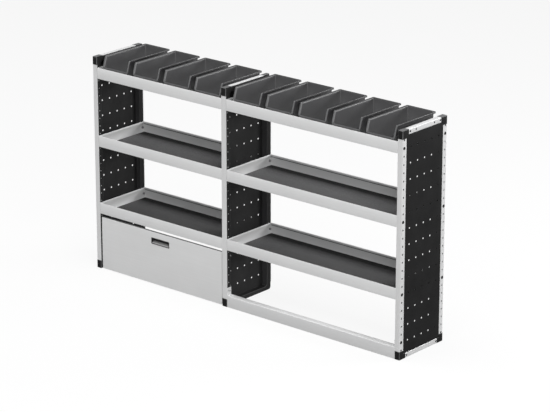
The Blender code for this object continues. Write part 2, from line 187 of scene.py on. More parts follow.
def blended(tree, factor, below, above, x=-400, y=500):
    """below with a plain colour over it by a factor."""
    made = node_of(tree, "ShaderNodeMix", x, y, data_type="RGBA")
    made.inputs[7].default_value = (*above, 1.0)
    tree.links.new(factor, made.inputs[0])
    tree.links.new(below, made.inputs[6])
    return made.outputs[2]


def paint_edge_light(tree, below, edge, top=None, front=None, edge_light_reach=None):
    """Painted highlights on edges, where the surface turns between two faces, and painted light and shade in given
    colours on faces that look up or to the front.

    edge_light_reach keeps the painted edge highlight to edges that turn sideways, and to those nearer the front than a
    distance in metres.
    """
    where = node_of(tree, "ShaderNodeNewGeometry", -2000, 900)
    split = node_of(tree, "ShaderNodeSeparateXYZ", -1800, 900)
    tree.links.new(where.outputs["Normal"], split.inputs[0])
    sizes = []
    for k, axis in enumerate("XYZ"):
        size = node_of(tree, "ShaderNodeMath", -1600, 1000 - 160 * k, operation="ABSOLUTE")
        tree.links.new(split.outputs[axis], size.inputs[0])
        sizes.append(size.outputs[0])
    most = sizes[0]
    for k, size in enumerate(sizes[1:]):
        larger = node_of(tree, "ShaderNodeMath", -1400 + 160 * k, 900, operation="MAXIMUM")
        tree.links.new(most, larger.inputs[0])
        tree.links.new(size, larger.inputs[1])
        most = larger.outputs[0]
    edge_highlight = scaled(tree, most, 0.0, 1.0, -900, 900, source=(0.985, 0.86))
    if edge_light_reach is not None:
        place = node_of(tree, "ShaderNodeTexCoord", -2000, 1500)
        parts = node_of(tree, "ShaderNodeSeparateXYZ", -1800, 1500)
        tree.links.new(place.outputs["Object"], parts.inputs[0])
        nearer = scaled(tree, parts.outputs["Y"], 1.0, 0.0, -1500, 1500, source=(edge_light_reach, edge_light_reach + 0.01))
        turned = scaled(tree, sizes[0], 0.0, 1.0, -1500, 1300, source=(0.08, 0.35))
        either = node_of(tree, "ShaderNodeMath", -1300, 1400, operation="MAXIMUM")
        tree.links.new(nearer, either.inputs[0])
        tree.links.new(turned, either.inputs[1])
        kept = node_of(tree, "ShaderNodeMath", -1100, 1300, operation="MULTIPLY")
        tree.links.new(either.outputs[0], kept.inputs[0])
        tree.links.new(edge_highlight, kept.inputs[1])
        edge_highlight = kept.outputs[0]
    # Painted highlight: rounded edges take the edge colour, standing in for light glancing off them.
    below = blended(tree, edge_highlight, below, edge, -500, 900)
    # Painted light and shade: faces that look up take the top colour.
    if top is not None:
        below = blended(tree, scaled(tree, split.outputs["Z"], 0.0, 1.0, -900, 1200, source=(0.72, 0.97)), below, top, -300, 1100)
    # Painted light: faces that look to the front take the front colour.
    if front is not None:
        below = blended(tree, scaled(tree, split.outputs["Y"], 0.0, 1.0, -900, 1400, source=(-0.6, -0.95)), below, front, -300, 1300)
    return below


def painted_shade_on_top(made, top):
    """The same sheet, painted darker on faces that look straight up, as painted shade."""
    tree = made.node_tree
    shader = next(n for n in tree.nodes if n.type == "BSDF_PRINCIPLED")
    below = shader.inputs["Base Color"].links[0].from_socket
    where = node_of(tree, "ShaderNodeNewGeometry", -1000, 900)
    split = node_of(tree, "ShaderNodeSeparateXYZ", -800, 900)
    tree.links.new(where.outputs["Normal"], split.inputs[0])
    up = scaled(tree, split.outputs["Z"], 0.0, 1.0, -600, 900, source=(0.8, 0.97))
    tree.links.new(blended(tree, up, below, top, -200, 700), shader.inputs["Base Color"])
    return made


def powder_coat(name, colour, roughness=0.55, specular=0.35, edge=None, front=None):
    """Matt powder coat: a fine pebbled skin over slightly uneven colour, with painted highlights on its edges and
    painted light on faces that look to the front, when edge and front are given.
    """
    made, tree, shader = new_material(name, colour, roughness, 0.0, specular)
    grain = noise(tree, coordinates(tree, (1, 1, 1), y=300), 950.0, 2.0, 0.5, y=300)
    cloud = noise(tree, coordinates(tree, (1, 1, 1), y=-100), 9.0, 4.0, 0.55, y=-100)
    base = ramp(tree, cloud, [(0.3, tint(colour, 0.86)), (0.7, tint(colour, 1.16))])
    # Painted light: lighter edges as painted highlights, and lighter front-facing faces.
    if edge is not None:
        base = paint_edge_light(tree, base, edge, front=front)
    tree.links.new(base, shader.inputs["Base Color"])
    tree.links.new(scaled(tree, grain, roughness - 0.07, roughness + 0.08), shader.inputs["Roughness"])
    bump(tree, shader, grain, 0.22, 0.00025)
    return made


def moulded(name, colour, roughness=0.45, specular=0.5, grain_size=1500.0, relief=0.16, painted_fill=None, edge=None, top=None, edge_light_reach=None):
    """Moulded plastic: an even eroded grain, with long shallow flow marks.

    painted_fill is (height where it starts, height where it is full, lighter colour): painted light lightens the colour
    down the inside and towards the rear, standing in for light that fills the shade there. edge and top paint
    highlights on edges and a colour on faces that look up.
    """
    made, tree, shader = new_material(name, colour, roughness, 0.0, specular)
    grain = noise(tree, coordinates(tree, (1, 1, 1), y=300), grain_size, 2.0, 0.6, y=300)
    flow = noise(tree, coordinates(tree, (6.0, 2.0, 14.0), y=-100), 1.0, 5.0, 0.5, y=-100)
    base = ramp(tree, flow, [(0.3, tint(colour, 0.92)), (0.7, tint(colour, 1.09))])
    # Painted light: the inside is painted lighter downwards and towards the rear, filling the shade there.
    if painted_fill is not None:
        where = node_of(tree, "ShaderNodeTexCoord", -1400, 800)
        split = node_of(tree, "ShaderNodeSeparateXYZ", -1200, 800)
        tree.links.new(where.outputs["Object"], split.inputs[0])
        smear = noise(tree, coordinates(tree, (18.0, 18.0, 7.0), y=600), 1.0, 6.0, 0.6, y=600)
        lift = node_of(tree, "ShaderNodeMath", -850, 700, operation="MULTIPLY_ADD")
        lift.inputs[1].default_value = 0.05
        tree.links.new(smear, lift.inputs[0])
        tree.links.new(split.outputs["Z"], lift.inputs[2])
        fill_downwards = scaled(tree, lift.outputs[0], 0.0, 0.85, -700, 700, source=(painted_fill[0] + 0.025, painted_fill[1] + 0.025))
        behind = scaled(tree, split.outputs["Y"], 0.0, 0.56, -700, 1000, source=(0.10, 0.36))
        both = node_of(tree, "ShaderNodeMath", -550, 800, operation="ADD", use_clamp=True)
        tree.links.new(fill_downwards, both.inputs[0])
        tree.links.new(behind, both.inputs[1])
        base = blended(tree, both.outputs[0], base, painted_fill[2])
    # Painted highlights on edges, and painted light and shade on faces that look up.
    if edge is not None:
        base = paint_edge_light(tree, base, edge, top, edge_light_reach=edge_light_reach)
    tree.links.new(base, shader.inputs["Base Color"])
    tree.links.new(scaled(tree, flow, roughness - 0.05, roughness + 0.06), shader.inputs["Roughness"])
    bump(tree, shader, grain, relief, 0.0002)
    return made


ALU_X = aluminium("aluminium_drawn_x", "X", (0.70, 0.702, 0.704), metallic=0.35)
# The rails' aluminium is painted a little darker than the other extrusions, as painted shade against the strong light
# on their tops.
ALU_Y = aluminium("aluminium_drawn_y", "Y", (0.66, 0.662, 0.664), metallic=0.35)
ALU_Z = aluminium("aluminium_drawn_z", "Z", (0.705, 0.707, 0.709), metallic=0.35)
SHEET = aluminium("folded_sheet", "X", (0.685, 0.687, 0.688), roughness=0.5, metallic=0.3)
# The flap's top face is painted darker, as painted shade under the tray above it.
FLAP_SHEET = painted_shade_on_top(aluminium("flap_sheet", "X", (0.70, 0.702, 0.703), roughness=0.5, metallic=0.3), (0.15, 0.15, 0.152))
ZINC = aluminium("zinc_plate", "X", (0.5, 0.505, 0.51), roughness=0.35, metallic=0.9)
NUT_GREY = aluminium("dull_zinc", "Z", (0.27, 0.272, 0.275), roughness=0.42, metallic=0.6)
# Both panel coats carry painted highlights on their edges and painted light on faces that look to the front.
PANEL_BLACK = powder_coat("panel_powder_coat", (0.0212, 0.0212, 0.0214), 0.58, 0.09, edge=(0.066, 0.066, 0.067), front=(0.050, 0.050, 0.051))
# The same coat painted darker for the right panel, as painted shade against the stronger light on that side.
PANEL_PAINTED_DARKER = powder_coat("panel_powder_coat_painted_darker", (0.0130, 0.0130, 0.0132), 0.58, 0.09, edge=(0.050, 0.050, 0.051), front=(0.036, 0.036, 0.037))
# Caps: painted highlights on the rounded edges, and painted light on the tops.
CAP_BLACK = moulded("cap_plastic", (0.004, 0.004, 0.0043), 0.34, 0.45, 1800.0, 0.10, edge=(0.085, 0.085, 0.087), top=(0.10, 0.10, 0.102))
# Bins: painted light down the inside and towards the rear, painted highlights on the rounded rim edges, and painted
# shade on the rim tops.
BIN_GREY = moulded("bin_plastic", (0.046, 0.046, 0.048), 0.42, 0.5, 1300.0, 0.12, painted_fill=(0.13, 0.035, (0.124, 0.124, 0.126)), edge=(0.115, 0.115, 0.117), top=(0.022, 0.022, 0.023), edge_light_reach=0.03)
BOLT_BLACK = moulded("bolt_black_oxide", (0.006, 0.006, 0.0065), 0.45, 0.25, 1500.0, 0.06)
# A dark strip that stands for the shadow under the trays' rear hems.
HEM_SHADOW_GREY = moulded("hem_painted_shadow", (0.075, 0.075, 0.077), 0.6, 0.2, 1500.0, 0.06)


def liner_rubber():
    """Ribbed rubber liner: dull and mottled, painted lighter from the front towards the last quarter, and dark along
    the rear wall as its painted shadow.
    """
    colour = (0.06, 0.06, 0.061)
    made, tree, shader = new_material("mat_rubber", colour, 0.6, 0.0, 0.3)
    where = node_of(tree, "ShaderNodeTexCoord", -1600, 700)
    split = node_of(tree, "ShaderNodeSeparateXYZ", -1400, 700)
    tree.links.new(where.outputs["Object"], split.inputs[0])
    smear = noise(tree, coordinates(tree, (5.0, 14.0, 5.0), y=500), 1.0, 5.0, 0.55, y=500)
    shift = node_of(tree, "ShaderNodeMath", -1100, 700, operation="MULTIPLY_ADD")
    shift.inputs[1].default_value = 0.012
    tree.links.new(smear, shift.inputs[0])
    tree.links.new(split.outputs["Y"], shift.inputs[2])
    depth = scaled(tree, shift.outputs[0], 0.0, 1.0, -900, 700, source=(-0.184, 0.190))
    # Painted light and shade from front to rear: lighter towards the middle, then a dark painted shadow of the rear
    # wall.
    painted_shade_by_depth = ramp(tree, depth, [
        (0.0, (0.055, 0.055, 0.056)), (1.0, (0.006, 0.006, 0.006)), (0.30, (0.066, 0.066, 0.067)), (0.50, (0.084, 0.084, 0.085)),
        (0.66, (0.112, 0.112, 0.114)), (0.76, (0.125, 0.125, 0.127)), (0.83, (0.082, 0.082, 0.083)), (0.90, (0.011, 0.011, 0.011))], -700, 700)
    speckle = noise(tree, coordinates(tree, (1, 1, 1), y=200), 130.0, 3.0, 0.7, y=200)
    weave = ramp(tree, speckle, [(0.3, (0.72, 0.72, 0.72)), (0.7, (1.22, 1.22, 1.22))], -700, 200)
    both = node_of(tree, "ShaderNodeVectorMath", -400, 500, operation="MULTIPLY")
    tree.links.new(painted_shade_by_depth, both.inputs[0])
    tree.links.new(weave, both.inputs[1])
    # The liners on the upper shelves are painted paler.
    level = node_of(tree, "ShaderNodeVectorMath", -250, 500, operation="SCALE")
    tree.links.new(both.outputs["Vector"], level.inputs[0])
    tree.links.new(scaled(tree, split.outputs["Z"], 0.99, 1.62, -600, 1000, source=(0.345, 0.75)), level.inputs["Scale"])
    tree.links.new(level.outputs["Vector"], shader.inputs["Base Color"])
    tree.links.new(scaled(tree, speckle, 0.5, 0.7), shader.inputs["Roughness"])
    bump(tree, shader, speckle, 0.35, 0.0004)
    return made


MAT_RUBBER = liner_rubber()


def ledge_plastic_painted_light():
    """Grained plastic, painted light low down where light falls on the ledge, and painted dark higher up, as painted
    shade under the cup's top edge.
    """
    made, tree, shader = new_material("ledge_plastic_painted_light", (0.3, 0.3, 0.3), 0.5, 0.0, 0.4)
    where = node_of(tree, "ShaderNodeTexCoord", -1400, 0)
    split = node_of(tree, "ShaderNodeSeparateXYZ", -1200, 0)
    tree.links.new(where.outputs["Object"], split.inputs[0])
    low = (PULL_Z - PULL_H / 2 + 5.0) * 0.001
    height = node_of(tree, "ShaderNodeMapRange", -1000, 0)
    height.inputs["From Min"].default_value, height.inputs["From Max"].default_value = low, low + 0.017
    tree.links.new(split.outputs["Z"], height.inputs["Value"])
    speckle = noise(tree, coordinates(tree, (1, 1, 1), y=300), 400.0, 3.0, 0.6, y=300)
    shift = node_of(tree, "ShaderNodeMath", -850, 0, operation="MULTIPLY_ADD")
    shift.inputs[1].default_value = 0.16
    tree.links.new(speckle, shift.inputs[0])
    tree.links.new(height.outputs["Result"], shift.inputs[2])
    tree.links.new(ramp(tree, shift.outputs[0], [(0.05, (0.36, 0.36, 0.36)), (1.0, (0.012, 0.012, 0.012)), (0.5, (0.16, 0.16, 0.16))]), shader.inputs["Base Color"])
    bump(tree, shader, speckle, 0.1, 0.0002)
    return made


LEDGE_PAINTED_LIGHT = ledge_plastic_painted_light()


# ---------------------------------------------------------------- mesh helpers
def finish_mesh(name, bm, made_of, smooth_angle=35.0):
    """An object at the row's origin from a bmesh in millimetres."""
    bmesh.ops.recalc_face_normals(bm, faces=bm.faces)
    for vertex in bm.verts:
        vertex.co = (vertex.co - ORIGIN) * 0.001
    mesh = bpy.data.meshes.new(name)
    bm.to_mesh(mesh)
    bm.free()
    mesh.materials.append(made_of)
    mesh.shade_smooth()
    mesh.set_sharp_from_angle(angle=math.radians(smooth_angle))
    obj = bpy.data.objects.new(name, mesh)
    bpy.context.scene.collection.objects.link(obj)
    return obj


def loft_into(bm, loops, cap_start=True, cap_end=True):
    rows = [[bm.verts.new(point) for point in loop] for loop in loops]
    n = len(rows[0])
    for low, high in zip(rows, rows[1:]):
        for i in range(n):
            j = (i + 1) % n
            bm.faces.new((low[i], low[j], high[j], high[i]))
    if cap_start:
        bm.faces.new(rows[0])
    if cap_end:
        bm.faces.new(rows[-1])
    return rows


def loft(loops):
    bm = bmesh.new()
    loft_into(bm, loops)
    return bm


ORDER = {
    "X": lambda p, t: (t, p[0], p[1]),
    "Y": lambda p, t: (p[0], t, p[1]),
    "Z": lambda p, t: (p[0], p[1], t),
}


def prism_into(bm, outline, axis, a, b):
    loft_into(bm, [[ORDER[axis](p, a) for p in outline], [ORDER[axis](p, b) for p in outline]])


def prism(outline, axis, a, b):
    bm = bmesh.new()
    prism_into(bm, outline, axis, a, b)
    return bm


def soft_prism_into(bm, outline, axis, a, b, ease=0.35):
    """A prism whose end edges are broken by a small chamfer, for sheet and plate ends."""
    inner = inset_outline(outline, ease)
    way = 1 if b > a else -1
    loft_into(bm, [
        [ORDER[axis](p, a) for p in inner], [ORDER[axis](p, a + way * ease) for p in outline],
        [ORDER[axis](p, b - way * ease) for p in outline], [ORDER[axis](p, b) for p in inner]])


def inset_outline(outline, distance):
    """Each side of a simple outline moved in by a distance."""
    n = len(outline)
    area = sum(outline[i][0] * outline[(i + 1) % n][1] - outline[(i + 1) % n][0] * outline[i][1] for i in range(n))
    sign = 1.0 if area > 0 else -1.0
    result = []
    for i in range(n):
        before, here, after = (Vector(outline[(i + k) % n][:2]) for k in (-1, 0, 1))
        d1, d2 = (here - before).normalized(), (after - here).normalized()
        n1, n2 = Vector((-d1.y, d1.x)) * sign, Vector((-d2.y, d2.x)) * sign
        mid = n1 + n2
        if mid.length < 1e-6:
            result.append(tuple(here + n1 * distance))
            continue
        mid.normalize()
        result.append(tuple(here + mid * distance / max(mid.dot(n1), 0.35)))
    return result


def rounded(u0, u1, v0, v1, radius, steps=5):
    points = []
    for cu, cv, start in (
        (u1 - radius, v1 - radius, 0), (u0 + radius, v1 - radius, 90),
        (u0 + radius, v0 + radius, 180), (u1 - radius, v0 + radius, 270),
    ):
        for k in range(steps + 1):
            angle = math.radians(start + 90 * k / steps)
            points.append((cu + radius * math.cos(angle), cv + radius * math.sin(angle)))
    return points


def arc(cu, cv, radius, start, end, steps):
    return [
        (cu + radius * math.cos(math.radians(start + (end - start) * k / steps)),
         cv + radius * math.sin(math.radians(start + (end - start) * k / steps)))
        for k in range(steps + 1)
    ]


def round_corners(outline, radii, steps=4):
    """A simple outline with each corner replaced by an arc. radii is one number, or one for each corner."""
    n = len(outline)
    result = []
    for i in range(n):
        r = radii if isinstance(radii, (int, float)) else radii[i]
        before, here, after = (Vector(outline[(i + k) % n][:2]) for k in (-1, 0, 1))
        if r <= 0:
            result.append(tuple(here))
            continue
        u, v = (before - here), (after - here)
        lu, lv = u.length, v.length
        u.normalize()
        v.normalize()
        angle = u.angle(v)
        reach = min(r / math.tan(angle / 2), 0.49 * lu, 0.49 * lv)
        rr = reach * math.tan(angle / 2)
        centre = here + (u + v).normalized() * (rr / math.sin(angle / 2))
        a, b = here + u * reach - centre, here + v * reach - centre
        start = math.atan2(a.y, a.x)
        turn = math.atan2(b.y, b.x) - start
        turn = (turn + math.pi) % (2 * math.pi) - math.pi
        for k in range(steps + 1):
            t = start + turn * k / steps
            result.append((centre.x + rr * math.cos(t), centre.y + rr * math.sin(t)))
    return result


def ring_of(centre, radius, axis, at, sides, start=0.0, direction=1):
    return [ORDER[axis]((centre[0] + radius * math.cos(start + direction * 2 * math.pi * k / sides),
                         centre[1] + radius * math.sin(start + direction * 2 * math.pi * k / sides)), at) for k in range(sides)]


def cutters(holes, axis, a, b, sides=20):
    """One object of round prisms, for cutting holes. holes is (u, v, radius)."""
    bm = bmesh.new()
    for u, v, radius in holes:
        loft_into(bm, [ring_of((u, v), radius, axis, a, sides), ring_of((u, v), radius, axis, b, sides)])
    return finish_mesh("cutter", bm, PANEL_BLACK)


def combine(obj, other, operation, angle=35.0):
    """Applies a Boolean at once and removes the other object."""
    modifier = obj.modifiers.new("shape", "BOOLEAN")
    modifier.operation = operation
    modifier.object = other
    modifier.solver = "EXACT"
    graph = bpy.context.evaluated_depsgraph_get()
    mesh = bpy.data.meshes.new_from_object(obj.evaluated_get(graph))
    obj.modifiers.clear()
    old = obj.data
    obj.data = mesh
    mesh.name = old.name
    bpy.data.meshes.remove(old)
    bpy.data.objects.remove(other, do_unlink=True)
    mesh.shade_smooth()
    mesh.set_sharp_from_angle(angle=math.radians(angle))
    return obj


def soften(obj, width, steps=2, angle=40.0):
    modifier = obj.modifiers.new("edge", "BEVEL")
    modifier.width = width * 0.001
    modifier.segments = steps
    modifier.limit_method = "ANGLE"
    modifier.angle_limit = math.radians(angle)
    modifier.harden_normals = False
    return obj


def own(obj, body, slot, *nodes):
    """Puts a piece on its body, and hides the CAD nodes it stands for. slot is not used."""
    if nodes:
        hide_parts(*nodes)
    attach(obj, body)
    return obj


# ---------------------------------------------------------------- fasteners
def hex_ring(radius, sides=24, flats=True):
    """Points of a hexagon with as many points as a ring of `sides`, by angle."""
    points = []
    for k in range(sides):
        t = 2 * math.pi * k / sides
        sector = (t + math.pi / 6) % (math.pi / 3) - math.pi / 6
        reach = radius / math.cos(sector)
        points.append((reach * math.cos(t), reach * math.sin(t)))
    return points


def placed(points, centre, axis, way, height):
    return [ORDER[axis]((centre[0] + u, centre[1] + v), centre[2] + way * height) for u, v in points]


def circle_points(radius, sides=24):
    return [(radius * math.cos(2 * math.pi * k / sides), radius * math.sin(2 * math.pi * k / sides)) for k in range(sides)]


def button_bolt(bm, u, v, at, axis, way, radius=5.6, height=1.4, socket=2.3):
    """A low button head with a hexagon socket, standing out of a face at `at` along an axis."""
    c = (u, v, at)
    rows = [
        placed(circle_points(radius), c, axis, way, -0.4), placed(circle_points(radius), c, axis, way, height * 0.25),
        placed(circle_points(radius * 0.93), c, axis, way, height * 0.62), placed(circle_points(radius * 0.76), c, axis, way, height * 0.9),
        placed(circle_points(radius * 0.56), c, axis, way, height), placed(hex_ring(socket), c, axis, way, height),
        placed(hex_ring(socket * 0.96), c, axis, way, height * 0.15)]
    loft_into(bm, rows)


def hex_nut(bm, u, v, at, axis, way, flats=6.5, height=5.5, thread=3.9, reach=8.5, washer=7.5):
    """A washer, a chamfered nut and the end of the bolt's thread."""
    c = (u, v, at)
    loft_into(bm, [
        placed(circle_points(washer), c, axis, way, 0.0), placed(circle_points(washer), c, axis, way, 1.0),
        placed(circle_points(washer - 0.3), c, axis, way, 1.3), placed(circle_points(thread * 0.8), c, axis, way, 1.3)])
    loft_into(bm, [
        placed(hex_ring(flats), c, axis, way, 1.2), placed(hex_ring(flats), c, axis, way, height - 0.7),
        placed(circle_points(flats * 0.98), c, axis, way, height), placed(circle_points(thread + 0.4), c, axis, way, height),
        placed(circle_points(thread), c, axis, way, height - 0.5)])
    rows = []
    steps = 8
    for k in range(steps + 1):
        h = height - 0.6 + (reach - height + 0.6) * k / steps
        rows.append(placed(circle_points(thread - (0.28 if k % 2 else 0.0)), c, axis, way, h))
    rows.append(placed(circle_points(thread - 0.9), c, axis, way, reach + 0.5))
    loft_into(bm, rows)


def pan_screw(bm, u, v, at, axis, way, radius=3.6, height=1.2):
    """A low pan head with a cross recess."""
    c = (u, v, at)
    sides = 24
    cross = []
    for k in range(sides):
        t = 2 * math.pi * k / sides
        reach = radius * (0.5 if min(t % (math.pi / 2), math.pi / 2 - t % (math.pi / 2)) < 0.2 else 0.2)
        cross.append((reach * math.cos(t), reach * math.sin(t)))
    loft_into(bm, [
        placed(circle_points(radius, sides), c, axis, way, -0.4), placed(circle_points(radius, sides), c, axis, way, height * 0.35),
        placed(circle_points(radius * 0.88, sides), c, axis, way, height * 0.8), placed(circle_points(radius * 0.62, sides), c, axis, way, height),
        placed(cross, c, axis, way, height), placed([(p[0] * 0.8, p[1] * 0.8) for p in cross], c, axis, way, height * 0.3)])


# ---------------------------------------------------------------- side frames
def side_frame(name, x0, direction, width, proud):
    def X(x):
        return x0 + direction * x

    def mapped(outline):
        return [(X(x), v) for x, v in outline]

    t, r = UP_T, UP_R

    # Uprights: rolled angle with a round outer edge, small system holes along the side leg.
    angle = [(width, 0.0)] + arc(r, r, r, 270, 180, 6) + [(0.0, UP_D), (t, UP_D)] + arc(t + 0.8, t + 0.8, 0.8, 180, 270, 3) + [(width, t)]
    angle = round_some(angle, {0: 0.5, 8: 0.6, 9: 0.6, len(angle) - 1: 0.5})
    for side in ("front", "rear"):
        outline = angle if side == "front" else [(x, DEPTH - y) for x, y in angle]
        bm = bmesh.new()
        soft_prism_into(bm, mapped(outline), "Z", CAP_H + GAP, HEIGHT - CAP_H - GAP, 0.4)
        up = finish_mesh(f"{name}_{side}_upright_visual", bm, ALU_Z)
        y = 14.0 if side == "front" else DEPTH - 14.0
        bolts = SHELF_BOLTS if side == "front" else SHELF_BOLTS[1:]
        hole = 5.5 if side == "front" else 4.9
        holes = [(y, z, hole) for z in GRID45 if 60 < z < HEIGHT - 60 and min(abs(z - b) for b in bolts) > 10]
        combine(up, cutters(holes, "X", X(-2.0), X(t + 2.0), 16), "DIFFERENCE")
        own(up, "rack", "satin_aluminium", f"{name}_{side}_upright")

    # Side rails.
    top = HEIGHT - 1.0
    outline = [(0.0, HEIGHT - RAIL28), (t, HEIGHT - RAIL28)] + arc(t + 0.8, top - t - 0.8, 0.8, 180, 90, 3) + [(RAIL28, top - t), (RAIL28, top)]
    outline += arc(r, top - r, r, 90, 180, 6)
    outline = round_some(outline, {0: 0.5, 1: 0.5, 6: 0.5, 7: 0.5})
    bm = bmesh.new()
    soft_prism_into(bm, mapped(outline), "Y", CAP_LEG + GAP, DEPTH - CAP_LEG - GAP, 0.4)
    rail = finish_mesh(f"{name}_top_rail_visual", bm, ALU_Y)
    combine(rail, cutters([(y, HEIGHT - 14.0, 3.6) for y in (113.0, 269.0)], "X", X(-2.0), X(t + 2.0), 16), "DIFFERENCE")
    own(rail, "rack", "satin_aluminium", f"{name}_top_rail")
    inner = width - PANEL_T - GAP
    outline = [(0.0, 1.5), (t, 1.5)] + arc(t + 0.8, RAIL28 - t - 0.8, 0.8, 180, 90, 3) + [(inner, RAIL28 - t), (inner, RAIL28), (1.5, RAIL28), (0.0, RAIL28 - 1.5)]
    outline = round_some(outline, {0: 0.5, 1: 0.5, 6: 0.5, 7: 0.5})
    bm = bmesh.new()
    soft_prism_into(bm, mapped(outline), "Y", CAP_LEG + GAP, DEPTH - CAP_LEG - GAP, 0.4)
    rail = finish_mesh(f"{name}_bottom_rail_visual", bm, ALU_Y)
    combine(rail, cutters([(y, 14.0, 4.2) for y in (113.0, 269.0)], "X", X(-2.0), X(t + 2.0), 16), "DIFFERENCE")
    own(rail, "rack", "satin_aluminium", f"{name}_bottom_rail")

    # Folded panel with its perforation.
    y0, y1 = UP_D + GAP, DEPTH - UP_D - GAP
    z0, z1 = RAIL28 + GAP, HEIGHT - RAIL28 - GAP

    def pan_ring(inset, x, radius):
        return [(X(x), y, z) for y, z in rounded(y0 + inset, y1 - inset, z0 + inset, z1 - inset, radius, 7)]

    bm = loft([
        pan_ring(1.7, 0.0, PANEL_R), pan_ring(0.8, 0.2, PANEL_R + 0.7), pan_ring(0.2, 0.8, PANEL_R + 1.3), pan_ring(0.0, 1.7, PANEL_R + PANEL_T),
        pan_ring(0.0, width - 0.6, PANEL_R + PANEL_T)])
    # The right panel takes the darker copy of the coat, as painted shade against the stronger light on that side.
    coat = PANEL_PAINTED_DARKER if name == "right" else PANEL_BLACK
    panel = finish_mesh(f"{name}_side_panel_visual", bm, coat)
    lip = rounded(LIP_FRONT, DEPTH - LIP_REAR, LIP_Z, top - t - GAP, LIP_R, 6)
    lip_rows = [
        [(X(width - PANEL_T), y, z) for y, z in lip], [(X(width - 0.55), y, z) for y, z in lip],
        [(X(width - 0.16), y, z) for y, z in inset_outline(lip, 0.16)], [(X(width), y, z) for y, z in inset_outline(lip, 0.55)]]
    combine(panel, finish_mesh("lip", loft(lip_rows), coat), "UNION")

    def hollow_ring(inset, x, radius):
        e = PANEL_T + inset
        return [(X(x), y, z) for y, z in rounded(y0 + e, y1 - e, z0 + e, z1 - e, radius, 7)]

    fold = 3.6
    turns = [math.radians(15.0 * k) for k in range(7)]
    hollow = loft([
        hollow_ring(1.2, PANEL_T, PANEL_R - 1.2), hollow_ring(0.35, PANEL_T + 0.35, PANEL_R - 0.35), hollow_ring(0.0, PANEL_T + 1.2, PANEL_R)] + [
        hollow_ring(-fold * (1 - math.cos(a)), width - fold + fold * math.sin(a), PANEL_R + fold * (1 - math.cos(a))) for a in turns] + [
        hollow_ring(-fold, width + 0.5, PANEL_R + fold)])
    combine(panel, finish_mesh("hollow", hollow, coat), "DIFFERENCE")
    holes = [(DEPTH / 2 + (i - 2) * 60.0, 99.1 + 90.0 * j, 4.8) for i in range(5) for j in range(13)]
    combine(panel, cutters(holes, "X", X(-2.0), X(PANEL_T + 2.0), 24), "DIFFERENCE")
    own(panel, "rack", "black_powder_coat", f"{name}_side_panel")

    # Rivets that hold the panel's lip to the front upright, between the trays.
    bm = bmesh.new()
    for z in GRID45:
        if z > 120 and z < HEIGHT - 75 and all(not (foot - 8 < z < foot + TRAY_H + 8) for foot in TRAY_Z.values()):
            c = (14.0, z, X(width))
            loft_into(bm, [
                placed(circle_points(3.0, 20), c, "X", direction, -0.4), placed(circle_points(3.0, 20), c, "X", direction, 0.15),
                placed(circle_points(2.6, 20), c, "X", direction, 0.55), placed(circle_points(1.7, 20), c, "X", direction, 0.85),
                placed(circle_points(0.6, 20), c, "X", direction, 0.95)])
    own(finish_mesh(f"{name}_lip_rivets", bm, ZINC), "rack", "zinc_plated_steel")

    # Corner caps.
    p = CAP_PROUD
    for front in (True, False):
        for low in (True, False):
            end = f"{name}_cap_{'front' if front else 'rear'}_{'bottom' if low else 'top'}"
            own(corner_cap(end, X, REAR_CAP_W if name == "middle" and not front else width, width, p, proud, front, low), "rack", "black_cap_plastic", end)

    # Bolts of the shelves, screws of the caps, screws of the rails.
    bm = bmesh.new()
    way = -direction
    for y in (14.0, DEPTH - 14.0):
        for z in SHELF_BOLTS if y < 20 else SHELF_BOLTS[1:]:
            button_bolt(bm, y, z, X(0.0), "X", way, 9.0, 1.4, 3.4)
        for z in CAP_SCREWS:
            pan_screw(bm, y, z, X(0.0), "X", way, 5.4, 1.3)
    for z in (14.0, HEIGHT - 14.0):
        for y in (62.5, DEPTH - 58.5):
            pan_screw(bm, y, z, X(0.0), "X", way, 5.2, 1.3)
    for y in (113.0, 269.0):
        pan_screw(bm, y, HEIGHT - 14.0, X(0.0), "X", way, 4.8, 1.3)
    if proud:
        own(finish_mesh(f"{name}_frame_screws", bm, BOLT_BLACK), "rack", "black_cap_plastic")
    else:
        bm.free()


def round_some(outline, radii, steps=2):
    """Only the listed corners of an outline are rounded."""
    return round_corners_listed(outline, radii, steps)


def round_corners_listed(outline, radii, steps):
    result = []
    n = len(outline)
    for i in range(n):
        if i not in radii:
            result.append(tuple(outline[i]))
            continue
        trio = [outline[(i - 1) % n], outline[i], outline[(i + 1) % n]]
        rounded_trio = round_corners(trio, [0, radii[i], 0], steps)
        result.extend(rounded_trio[1:-1])
    return result


